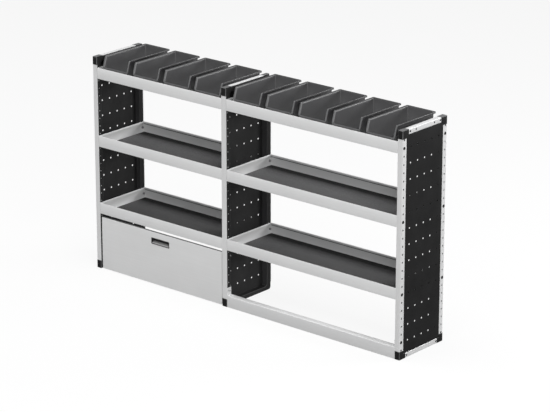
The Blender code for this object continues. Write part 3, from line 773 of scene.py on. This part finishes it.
def corner_cap(name, X, reach, width, p, proud, front, low):
    """A moulded elbow with well rounded outer edges, a front plate in front of the panel's lip, and a tongue in the upright."""
    out = p if proud else 0.0

    def yz(y, z):
        return (y if front else DEPTH - y, z if low else HEIGHT - z)

    elbow = [(-p, 0.0), (CAP_LEG, 0.0), (CAP_LEG, RAIL28), (UP_D, RAIL28), (UP_D, CAP_H), (-p, CAP_H)]
    bm = bmesh.new()
    weight = bm.edges.layers.float.new("bevel_weight_edge")
    rows = [[bm.verts.new((X(x), *yz(y, z))) for y, z in elbow] for x in (-out, reach)]
    count = len(elbow)
    for i in range(count):
        j = (i + 1) % count
        bm.faces.new((rows[0][i], rows[0][j], rows[1][j], rows[1][i]))
    for row in rows:
        bm.faces.new(row)
    bm.edges.ensure_lookup_table()
    for row in rows:
        for i, radius in enumerate((3.0, 0.7, 0.7, 0.7, 0.7, 4.6)):      # edges from point i to the next
            bm.edges.get((row[i], row[(i + 1) % count]))[weight] = radius / 5.0
    for i, radius in enumerate((3.0, 0.7, 0.7, 1.6, 0.7, 0.7)):          # edges along X
        bm.edges.get((rows[0][i], rows[1][i]))[weight] = radius / 5.0
    cap = finish_mesh(name + "_visual", bm, CAP_BLACK)
    modifier = cap.modifiers.new("edge", "BEVEL")
    modifier.width = 0.005
    modifier.segments = 5
    modifier.limit_method = "WEIGHT"
    # The step behind the front plate, where the panel's lip runs.
    t = UP_T
    y0, y1 = sorted((t, CAP_LEG + 5.0) if front else (DEPTH - t, DEPTH - CAP_LEG - 5.0))
    z0, z1 = sorted((-5.0, CAP_H + 5.0) if low else (HEIGHT + 5.0, HEIGHT - CAP_H - 5.0))
    xa, xb = sorted((X(width - PANEL_T - GAP), X(width + 5.0)))
    step = prism([(xa, y0), (xb, y0), (xb, y1), (xa, y1)], "Z", z0, z1)
    combine(cap, finish_mesh("step", step, CAP_BLACK), "DIFFERENCE")
    # Tongue inside the upright.
    z0, z1 = (CAP_H - 2.0, CAP_H + 22.0) if low else (HEIGHT - CAP_H + 2.0, HEIGHT - CAP_H - 22.0)
    y0, y1 = (t + 1.0, 29.0) if front else (DEPTH - t - 1.0, DEPTH - 29.0)
    tongue = rounded(*sorted((X(t + 1.0), X(reach - 4.0))), *sorted((y0, y1)), 2.0, 3)
    bm = bmesh.new()
    way = 1 if z1 > z0 else -1
    loft_into(bm, [[(x, y, z0) for x, y in tongue], [(x, y, z1 - way * 2.0) for x, y in tongue], [(x, y, z1) for x, y in inset_outline(tongue, 1.5)]])
    combine(cap, finish_mesh("tongue", bm, CAP_BLACK), "UNION")
    return cap


side_frame("left", 0.0, 1, END_W, True)
side_frame("middle", MID_X, 1, MID_W, False)
side_frame("right", WIDTH, -1, END_W, True)


# ---------------------------------------------------------------- trays and mats
def tray(name, node, x0, x1, z0):
    top = z0 + TRAY_H

    def ring(ix, iy, z, radius, rear=None):
        return [(x, y, z) for x, y in rounded(x0 + ix, x1 - ix, iy, DEPTH - (iy if rear is None else rear), radius, 4)]

    # A flat closed hem along the front, a fuller one along the rear.
    t = TRAY_T
    loops = [
        ring(2.2, 2.2, z0, 1.6), ring(1.0, 1.0, z0 + 0.25, 2.4), ring(0.3, 0.3, z0 + 1.0, 2.9), ring(0.0, 0.0, z0 + 2.2, 3.2),
        ring(0.0, 0.0, top - 1.6, 3.2), ring(0.2, 0.3, top - 0.6, 3.0), ring(0.5, 0.9, top - 0.1, 2.7), ring(0.8, 1.6, top, 2.4),
        ring(0.9, 1.9, top, 2.2, 4.4), ring(1.1, 2.4, top - 0.3, 2.1, 5.8), ring(1.3, 2.7, top - 1.2, 2.0, 6.4), ring(t, 2.7, top - 9.4, 1.8, 6.4),
        ring(t, 2.5, top - 10.2, 1.8, 6.0), ring(t, 2.3, top - 10.6, 1.8, 5.2), ring(t, 1.8, top - 10.4, 1.7, 1.9), ring(t, t, top - 10.6, 1.6),
        ring(t, t, z0 + t + 1.2, 1.6), ring(t + 0.35, t + 0.35, z0 + t + 0.35, 1.4), ring(t + 1.2, t + 1.2, z0 + t, 1.0)]
    own(finish_mesh(name, loft(loops), SHEET), "rack", "light_grey_sheet", node)
    # A dark strip under the rear hem, as painted shadow of the hem on the wall.
    bm = bmesh.new()
    wall = DEPTH - t
    soft_prism_into(bm, round_some([(wall + 0.1, top - 15.4), (wall - 0.9, top - 15.4), (wall - 1.1, top - 10.9), (wall + 0.1, top - 10.9)], {1: 0.4, 2: 0.3}), "X", x0 + 4.0, x1 - 4.0, 0.3)
    own(finish_mesh(name.replace("_visual", "_hem_painted_shadow"), bm, HEM_SHADOW_GREY), "rack", "light_grey_sheet")


def ribbed_mat(name, node, x0, x1, z0):
    """Rubber liner with fine ribs from front to back."""
    low, base, high = z0, z0 + 1.9, z0 + 2.9
    a, b = x0 + 5.0, x1 - 5.0
    count = int((b - a - 6.0) / 5.0)
    pitch = (b - a - 6.0) / count
    outline = [(a, low), (b, low), (b, base), (b - 3.0, base)]
    for k in reversed(range(count)):
        x = a + 3.0 + k * pitch
        outline += [(x + pitch - 1.0, base), (x + pitch - 1.5, high - 0.15), (x + pitch - 1.9, high), (x + 1.4, high), (x + 1.0, high - 0.15), (x + 0.5, base)]
    outline += [(a + 3.0, base), (a, base)]
    own(finish_mesh(name, prism(outline, "Y", 5.2, DEPTH - 5.2), MAT_RUBBER, 50.0), "rack", "ribbed_rubber", node)


for bay, (bx0, bx1) in BAYS.items():
    for level, z in TRAY_Z.items():
        tray(f"{bay}_{level}_tray_visual", f"{bay}_bay_{level}_tray", bx0, bx1, z)
        if level != "top":
            ribbed_mat(f"{bay}_{level}_mat_visual", f"{bay}_bay_{level}_mat", bx0, bx1, z + TRAY_T + GAP)
        # Bolt ends and nuts inside the tray's end walls.
        bm = bmesh.new()
        for y in (14.0, DEPTH - 14.0):
            bolt_z = {"lower": 369.1, "upper": 774.1, "top": 1179.1}[level]
            hex_nut(bm, y, bolt_z, bx0 + TRAY_T, "X", 1)
            hex_nut(bm, y, bolt_z, bx1 - TRAY_T, "X", -1)
        own(finish_mesh(f"{bay}_{level}_tray_nuts", bm, NUT_GREY), "rack", "zinc_plated_steel")


# ---------------------------------------------------------------- bottom rail of the right bay
bx0, bx1 = BAYS["right"]
RAIL_TOP = 68.0
channel = arc(3.0, RAIL_TOP - 3.0, 3.0, 180, 90, 6) + [
    (38.0, RAIL_TOP), (38.0, RAIL_TOP - 2.5), (2.5, RAIL_TOP - 2.5), (2.5, 3.5), (38.0, 3.5), (38.0, 1.0), (2.0, 1.0), (0.6, 1.6), (0.0, 3.0)]
channel = round_some(channel, {7: 0.6, 8: 0.6, 11: 0.6, 12: 0.6})
bm = bmesh.new()
soft_prism_into(bm, channel, "X", bx0, bx1, 0.4)
own(finish_mesh("right_bay_front_rail_visual", bm, ALU_X), "rack", "satin_aluminium", "right_bay_front_rail")
for side, wall, way in (("left", bx0, 1), ("right", bx1, -1)):
    foot = RAIL_TOP + GAP
    shape = [(wall, foot + 2.5)] + [(wall + way * u, v) for u, v in arc(2.5, foot + 2.5, 2.5, 180, 270, 4)][1:] + [
        (wall + way * 26.0, foot), (wall + way * 26.0, foot + 2.5), (wall + way * 3.5, foot + 2.5), (wall + way * 2.7, foot + 2.9), (wall + way * 2.5, foot + 3.7),
        (wall + way * 2.5, 115.0), (wall, 115.0)]
    bm = bmesh.new()
    soft_prism_into(bm, shape, "Y", 1.0, 32.0, 0.35)
    bracket = finish_mesh(f"front_rail_bracket_{side}_visual", bm, ALU_X)
    own(bracket, "rack", "satin_aluminium", f"front_rail_bracket_{side}")
    bm = bmesh.new()
    hex_nut(bm, 15.0, 99.1, wall + way * 2.5, "X", way, 6.5, 5.5, 3.9, 9.5)
    button_bolt(bm, wall + way * 15.0, 17.0, foot + 2.5, "Z", 1, 5.6, 2.6, 2.3)
    own(finish_mesh(f"front_rail_bolts_{side}", bm, ZINC), "rack", "zinc_plated_steel")


# ---------------------------------------------------------------- bins
def fillet(corner, u, v, radius, steps):
    """Points of an arc between the rays u and v from a corner, in a plane."""
    u, v = Vector(u).normalized(), Vector(v).normalized()
    angle = u.angle(v)
    reach = radius / math.tan(angle / 2)
    corner = Vector(corner)
    centre = corner + (u + v).normalized() * (radius / math.sin(angle / 2))
    a, b = corner + u * reach - centre, corner + v * reach - centre
    start = math.atan2(a.y, a.x)
    turn = (math.atan2(b.y, b.x) - start + math.pi) % (2 * math.pi) - math.pi
    return [(centre.x + radius * math.cos(start + turn * k / steps), centre.y + radius * math.sin(start + turn * k / steps)) for k in range(steps + 1)]


def bin_loop(a, b, rear=6.0, square=False):
    """A loop a in from the rim's outer edge and b under the rim's surface, with the same count of points for all.

    square keeps the depth small across the rear, where the rim's inner edge is nearly sharp.
    """
    top, lip, lean = BIN_H, BIN_LIP, BIN_LEAN
    run = math.hypot(lean, top - lip)
    ny, nz = (top - lip) / run, lean / run
    half = []
    radius = max(rear - a, 2.5)
    edge = BIN_L - a
    for k in range(7):
        turn = math.radians(90 * k / 6)
        depth = b * (0.16 + 0.84 * (k / 6) ** 1.5) if square else b
        half.append((a + radius - radius * math.sin(turn), edge - radius + radius * math.cos(turn), top - depth))
    corner = (lean + b * (1 - nz) / ny, top - b)
    for y, z in fillet(corner, (1, 0), (-nz, -ny), max(6.0 - b, 1.0), 5):
        half.append((a, y, z))
    start = Vector((a, lean * 0.15 + b * ny, lip + 10.0 - b * nz))
    control = Vector((a, b * ny * 0.6, lip - b * 0.85))
    end = Vector((9.0 + 0.5 * a, a, lip - b))
    for k in range(6):
        s = k / 5
        half.append(tuple(start * (1 - s) ** 2 + control * 2 * s * (1 - s) + end * s * s))
    return half + [(BIN_W - x, y, z) for x, y, z in reversed(half)]


def bin_floor(inset, z, radius=8.0):
    y0, y1 = inset + 1.0, BIN_L - inset
    half = []
    for k in range(7):
        turn = math.radians(90 * k / 6)
        half.append((inset + radius - radius * math.sin(turn), y1 - radius + radius * math.cos(turn), z))
    for k in range(6):
        half.append((inset, y0 + 30.0 - 2.6 * k, z))
    for k in range(6):
        turn = math.radians(90 * k / 5)
        half.append((inset + radius - radius * math.cos(turn), y0 + radius - radius * math.sin(turn), z))
    return half + [(BIN_W - x, y, z) for x, y, z in reversed(half)]


OUTER, INNER, RIM_IN = 1.6, 8.0, 12.2         # the rim's outer and inner edge radii, and its width


def rim_arc(centre, radius, start, end, steps, rears, square=False):
    """Loops along a rounded edge of the rim, as (inset, depth) round a centre."""
    made = []
    for k in range(steps + 1):
        turn = math.radians(start + (end - start) * k / steps)
        made.append(bin_loop(centre[0] + radius * math.sin(turn), centre[1] - radius * math.cos(turn), rears[0] + (rears[1] - rears[0]) * k / steps, square))
    return made


bin_loops = [
    bin_floor(13.8, 0.0, 7.0), bin_floor(12.6, 0.5, 8.0), bin_floor(12.1, 2.0, 8.4),
    bin_loop(9.6, 12.0), bin_loop(9.1, 9.6), bin_loop(8.4, 8.9), bin_loop(1.4, 9.2), bin_loop(0.5, 9.0), bin_loop(0.0, 8.3)]
bin_loops += rim_arc((OUTER, OUTER), OUTER, -90, 0, 3, (8.0, 8.0))
bin_loops += rim_arc((RIM_IN - INNER, INNER), INNER, 0, 80, 6, (9.0, 17.0), True)
bin_loops += [bin_loop(12.5, 12.0, 17.3), bin_loop(12.6, 15.0, 17.4), bin_floor(14.9, 6.2, 9.5), bin_floor(15.8, 3.8, 9.0), bin_floor(17.8, 2.7, 7.4)]
bin_bm = loft(bin_loops)
for vertex in bin_bm.verts:
    vertex.co += Vector((-BIN_W / 2, 0, 0)) + ORIGIN
bin_object = finish_mesh("bin_shell", bin_bm, BIN_GREY, 38.0)
bin_mesh = bin_object.data
bpy.data.objects.remove(bin_object, do_unlink=True)


def place_bin(name, x):
    obj = bpy.data.objects.new(name + "_visual", bin_mesh)
    bpy.context.scene.collection.objects.link(obj)
    obj.location = P(x, BIN_Y, BIN_Z)
    own(obj, name + "_body", "dark_grey_bin_plastic", name)


for k, x in enumerate(LEFT_BINS, start=1):
    place_bin(f"left_bin_{k}", x)
for k, x in enumerate(RIGHT_BINS, start=1):
    place_bin(f"right_bin_{k}", x)


# ---------------------------------------------------------------- flap, pull, hinge
fx0, fx1, fz0, fz1 = FLAP
back = FLAP_Y + FLAP_D


def flap_ring(inset, y, radius):
    return [(x, y, z) for x, z in rounded(fx0 + inset, fx1 - inset, fz0 + inset, fz1 - inset, radius, 4)]


flap = finish_mesh("flap_panel_visual", loft([
    flap_ring(3.4, FLAP_Y, 1.6), flap_ring(2.0, FLAP_Y + 0.3, 2.2), flap_ring(0.9, FLAP_Y + 1.0, 2.8), flap_ring(0.3, FLAP_Y + 2.0, 3.1), flap_ring(0.0, FLAP_Y + 3.4, 3.2),
    flap_ring(0.0, back - 1.2, 3.2), flap_ring(0.35, back - 0.35, 3.0), flap_ring(1.2, back, 2.4),
    flap_ring(15.6, back, 1.5), flap_ring(16.0, back - 0.4, 1.4), flap_ring(16.0, back - FLAP_T, 1.4), flap_ring(FLAP_T, back - FLAP_T, 1.6),
    flap_ring(FLAP_T, FLAP_Y + 3.4, 1.6), flap_ring(2.2, FLAP_Y + 2.1, 1.2), flap_ring(3.4, FLAP_Y + FLAP_T, 0.8)]), FLAP_SHEET)
foot = prism([(fx0 + 17.0, fz0 - 5.0), (fx1 - 17.0, fz0 - 5.0), (fx1 - 17.0, fz0 + 18.0), (fx0 + 17.0, fz0 + 18.0)], "Y", FLAP_Y + FLAP_T + 0.1, back + 5.0)
combine(flap, finish_mesh("foot_cut", foot, SHEET), "DIFFERENCE")
px0, px1 = PULL_X - PULL_W / 2, PULL_X + PULL_W / 2
pz0, pz1 = PULL_Z - PULL_H / 2, PULL_Z + PULL_H / 2
combine(flap, finish_mesh("window", prism(rounded(px0 + 2.0, px1 - 2.0, pz0 + 2.0, pz1 - 2.0, 5.0, 4), "Y", FLAP_Y - 3.0, FLAP_Y + 5.0), SHEET), "DIFFERENCE")
own(flap, "flap", "light_grey_sheet", "flap_panel")


def pull_ring(left, right, low, high, y, radius):
    return [(x, y, z) for x, z in rounded(px0 + left, px1 - right, pz0 + low, pz1 - high, radius, 4)]


own(finish_mesh("flap_pull_cup_visual", loft([
    pull_ring(5.5, 5.5, 5.5, 5.5, FLAP_Y + 13.5, 3.0), pull_ring(4.0, 4.0, 4.0, 4.0, FLAP_Y + 12.5, 3.4), pull_ring(3.2, 3.2, 3.2, 3.2, FLAP_Y - 0.3, 3.8),
    pull_ring(0.3, 0.3, 0.3, 0.3, FLAP_Y - 0.3, 5.2), pull_ring(0.0, 0.0, 0.0, 0.0, FLAP_Y - 0.6, 5.4), pull_ring(0.3, 0.3, 0.3, 0.3, FLAP_Y - 1.2, 5.2),
    pull_ring(1.2, 1.2, 1.2, 1.2, FLAP_Y - 1.6, 4.8), pull_ring(3.2, 3.2, 3.2, 3.2, FLAP_Y - 1.6, 4.2), pull_ring(4.2, 4.2, 4.2, 4.2, FLAP_Y - 1.1, 3.8),
    pull_ring(4.9, 4.9, 4.9, 4.9, FLAP_Y + 0.6, 3.4), pull_ring(5.2, 5.2, 5.2, 5.2, FLAP_Y + 3.0, 3.2), pull_ring(5.6, 5.6, 5.6, 5.5, FLAP_Y + 10.0, 3.0),
    pull_ring(6.4, 6.4, 6.4, 6.4, FLAP_Y + 11.4, 2.6), pull_ring(7.6, 7.6, 7.6, 7.6, FLAP_Y + 11.8, 2.0)]), CAP_BLACK),
    "flap", "black_cap_plastic", "flap_pull_cup")

# Curved finger ledge in the lower half of the cup.
low = pz0 + 5.3
section = [(FLAP_Y - 0.4, low), (FLAP_Y - 0.7, low + 0.7), (FLAP_Y - 0.3, low + 1.3), (FLAP_Y + 1.2, low + 2.3), (FLAP_Y + 3.2, low + 3.9), (FLAP_Y + 5.2, low + 6.1),
           (FLAP_Y + 7.0, low + 8.9), (FLAP_Y + 8.4, low + 12.2), (FLAP_Y + 9.3, low + 15.8), (FLAP_Y + 9.8, low + 16.3), (FLAP_Y + 10.4, low + 15.9), (FLAP_Y + 10.6, low)]
bm = bmesh.new()
loft_into(bm, [[(x, y, z) for y, z in section] for x in (px0 + 5.8, px1 - 5.8)])
own(finish_mesh("flap_pull_ledge", bm, LEDGE_PAINTED_LIGHT, 50.0), "flap", "black_cap_plastic")

# Hinge: two leaves with round knuckles, and the pin with domed ends.
pitch = (HINGE_X1 - HINGE_X0) / KNUCKLES
leaf_y = FLAP_Y + FLAP_T + GAP


def knuckle(bm, a, b):
    c = (PIN_Y, PIN_Z)
    rows = []
    for x, radius in ((a, 3.2), (a + 0.3, 3.5), (b - 0.3, 3.5), (b, 3.2), (b, 1.65), (a, 1.65)):
        rows.append([bm.verts.new(p) for p in ring_of(c, radius, "X", x, 24)])
    for low, high in zip(rows, rows[1:] + rows[:1]):
        for i in range(24):
            j = (i + 1) % 24
            bm.faces.new((low[i], low[j], high[j], high[i]))


def comb(edge, far, reach, first):
    outline = [(HINGE_X0, far), (HINGE_X0, edge)]
    for k in range(first, KNUCKLES, 2):
        a, b = HINGE_X0 + k * pitch + 0.6, HINGE_X0 + (k + 1) * pitch - 0.6
        outline += [(a, edge), (a, reach), (b, reach), (b, edge)]
    return outline + [(HINGE_X1, edge), (HINGE_X1, far)]


moving, fixed = bmesh.new(), bmesh.new()
prism_into(moving, comb(13.6, 42.0, 9.6, 0), "Y", leaf_y, leaf_y + 1.5)
prism_into(fixed, comb(14.4, 46.0, 10.8, 1), "Z", 5.1, 6.6)
for k in range(KNUCKLES):
    knuckle(moving if k % 2 == 0 else fixed, HINGE_X0 + k * pitch + 0.25, HINGE_X0 + (k + 1) * pitch - 0.25)
for k in range(10):
    x = HINGE_X0 + (k + 0.5) * (HINGE_X1 - HINGE_X0) / 10
    button_bolt(moving, x, 34.0, leaf_y + 1.5, "Y", 1, 3.6, 1.6, 1.3)
own(finish_mesh("hinge_flap_leaf_visual", moving, ZINC), "flap", "zinc_plated_steel", "hinge_flap_leaf")
own(finish_mesh("hinge_fixed_leaf_visual", fixed, ZINC), "rack", "zinc_plated_steel", "hinge_fixed_leaf")
c = (PIN_Y, PIN_Z)
own(finish_mesh("hinge_pin_visual", loft([
    ring_of(c, 0.8, "X", HINGE_X0, 20), ring_of(c, 1.48, "X", HINGE_X0 + 0.5, 20), ring_of(c, 1.48, "X", HINGE_X1 - 0.5, 20), ring_of(c, 0.8, "X", HINGE_X1, 20)]), ZINC),
    "rack", "zinc_plated_steel", "hinge_pin")

bx0, bx1 = BAYS["left"]
sill = [(24.0, 7.0), (46.0, 7.0), (46.0, 9.0), (26.0, 9.0), (26.0, 27.0), (46.0, 27.0), (46.0, 29.0), (24.0, 29.0)]
sill = round_corners(sill, [2.0, 0.5, 0.5, 0.6, 0.6, 0.5, 0.5, 2.0], 3)
bm = bmesh.new()
soft_prism_into(bm, sill, "X", bx0, bx1, 0.35)
own(finish_mesh("left_bay_sill_rail_visual", bm, ALU_X), "rack", "satin_aluminium", "left_bay_sill_rail")
for side, a, b in (("left", bx0, bx0 + 18.0), ("right", bx1 - 18.0, bx1)):
    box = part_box(f"flap_catch_{side}")
    outline = rounded(a, b, 262.0, 290.0, 2.5, 4)
    y0, y1 = back + 0.4, back + 14.0
    bm = loft([
        [(x, y0, z) for x, z in inset_outline(outline, 4.0)], [(x, y0, z) for x, z in inset_outline(outline, 1.2)], [(x, y0 + 0.4, z) for x, z in inset_outline(outline, 0.4)],
        [(x, y0 + 1.4, z) for x, z in outline], [(x, y1 - 1.0, z) for x, z in outline], [(x, y1, z) for x, z in inset_outline(outline, 1.0)]])
    own(finish_mesh(f"flap_catch_{side}_visual", bm, CAP_BLACK), "rack", "black_cap_plastic", f"flap_catch_{side}")


# ---------------------------------------------------------------- floor, world, lights, camera
floor_material, tree, shader = new_material("studio_floor", (0.9, 0.9, 0.9), 0.9, 0.0, 0.1)
where = node_of(tree, "ShaderNodeTexCoord", -1200, 0)
along = node_of(tree, "ShaderNodeVectorMath", -1000, 0, operation="DOT_PRODUCT")
along.inputs[1].default_value = (-0.6489, 0.7609, 0.0)
tree.links.new(where.outputs["Object"], along.inputs[0])
span = node_of(tree, "ShaderNodeMapRange", -800, 0)
span.inputs["From Min"].default_value, span.inputs["From Max"].default_value = -1.8, 7.0
tree.links.new(along.outputs["Value"], span.inputs["Value"])
glow = ramp(tree, span.outputs["Result"], [(0.0, (0.962, 0.962, 0.962)), (1.0, (0.935, 0.935, 0.935))], -600, 0)
lit = node_of(tree, "ShaderNodeEmission", -250, -300)
tree.links.new(glow, lit.inputs["Color"])
mix = node_of(tree, "ShaderNodeMixShader", 100, -200)
mix.inputs["Fac"].default_value = FLOOR_SHARE
output = next(n for n in tree.nodes if n.type == "OUTPUT_MATERIAL")
tree.links.new(lit.outputs[0], mix.inputs[1])
tree.links.new(shader.outputs[0], mix.inputs[2])
tree.links.new(mix.outputs[0], output.inputs["Surface"])
floor_material.cycles.emission_sampling = "NONE"
mesh = bpy.data.meshes.new("studio_floor")
mesh.from_pydata([(-40, -40, -0.0005), (40, -40, -0.0005), (40, 60, -0.0005), (-40, 60, -0.0005)], [], [(0, 1, 2, 3)])
mesh.materials.append(floor_material)
floor = bpy.data.objects.new("studio_floor", mesh)
bpy.context.scene.collection.objects.link(floor)
floor.visible_glossy = False

# World: an even pale sky, dimmer under the horizon, with a few broad bright patches.
world = bpy.data.worlds.new("studio")
bpy.context.scene.world = world
world.use_nodes = True
tree = world.node_tree
background = tree.nodes["Background"]
where = node_of(tree, "ShaderNodeTexCoord", -1500, 0)
split = node_of(tree, "ShaderNodeSeparateXYZ", -1200, 0)
tree.links.new(where.outputs["Generated"], split.inputs[0])
height = node_of(tree, "ShaderNodeMapRange", -1000, 0)
height.inputs["From Min"].default_value, height.inputs["From Max"].default_value = -1.0, 1.0
tree.links.new(split.outputs["Z"], height.inputs["Value"])
total = ramp(tree, height.outputs["Result"], [(0.0, (0.20, 0.20, 0.20)), (0.49, (0.24, 0.24, 0.24)), (0.515, (0.12, 0.12, 0.12)), (1.0, (0.12, 0.12, 0.12))], -800, 0)
for k, (direction, power, amount) in enumerate(SKY_PATCHES):
    y = -300 - 260 * k
    dot = node_of(tree, "ShaderNodeVectorMath", -1200, y, operation="DOT_PRODUCT")
    dot.inputs[1].default_value = Vector(direction).normalized()
    tree.links.new(where.outputs["Generated"], dot.inputs[0])
    front = node_of(tree, "ShaderNodeMath", -1000, y, operation="MAXIMUM")
    front.inputs[1].default_value = 0.0
    tree.links.new(dot.outputs["Value"], front.inputs[0])
    narrow = node_of(tree, "ShaderNodeMath", -800, y, operation="POWER")
    narrow.inputs[1].default_value = power
    tree.links.new(front.outputs[0], narrow.inputs[0])
    level = node_of(tree, "ShaderNodeMath", -600, y, operation="MULTIPLY")
    level.inputs[1].default_value = amount
    tree.links.new(narrow.outputs[0], level.inputs[0])
    joined = node_of(tree, "ShaderNodeVectorMath", -400 + 150 * k, y, operation="ADD")
    tree.links.new(total, joined.inputs[0])
    tree.links.new(level.outputs[0], joined.inputs[1])
    total = joined.outputs["Vector"]
tree.links.new(total, background.inputs["Color"])
background.inputs["Strength"].default_value = 1.0


def area_light(name, way, distance, towards, size, watts, glossy=True):
    data = bpy.data.lights.new(name, "AREA")
    data.shape = "RECTANGLE"
    data.size, data.size_y = size
    data.energy = watts
    obj = bpy.data.objects.new(name, data)
    bpy.context.scene.collection.objects.link(obj)
    at = Vector(towards) + Vector(way).normalized() * distance
    obj.location = at
    obj.rotation_euler = (Vector(towards) - at).to_track_quat("-Z", "Y").to_euler()
    obj.visible_glossy = glossy
    return obj


area_light("front_right_key", (0.75, -0.55, 0.42), 12.0, (0.0, 0.0, 0.65), (7.0, 5.5), 585.0)
area_light("overhead_softbox", (0.05, -0.1, 1.0), 12.0, (0.0, 0.0, 0.65), (8.5, 6.4), 1600.0)
area_light("front_overhead_fill", (0.2, -0.75, 0.9), 12.0, (0.0, 0.0, 0.65), (5.0, 4.0), 240.0)
area_light("left_fill", (-1.0, -0.5, 0.3), 12.0, (0.0, 0.0, 0.65), (5.0, 4.0), 190.0)
area_light("back_right_strip", (0.66, 0.72, 0.24), 5.5, (0.2, 0.0, 1.0), (2.4, 1.4), 168.0)

# Camera at the photograph's angle.
camera_data = bpy.data.cameras.new("camera")
camera_data.sensor_fit = "HORIZONTAL"
camera_data.sensor_width = 36.0
camera_data.lens = 171.92
camera_data.clip_end = 200.0
camera = bpy.data.objects.new("camera", camera_data)
bpy.context.scene.collection.objects.link(camera)
target = P(1361.1, 0.0, 676.9)
backward = Vector((0.61427, -0.72035, 0.32214)).normalized()
camera.location = target + backward * 14.2758
camera.rotation_euler = backward.to_track_quat("Z", "Y").to_euler()
bpy.context.scene.camera = camera

bpy.context.scene.view_settings.view_transform = "Standard"
bpy.context.scene.view_settings.look = "None"
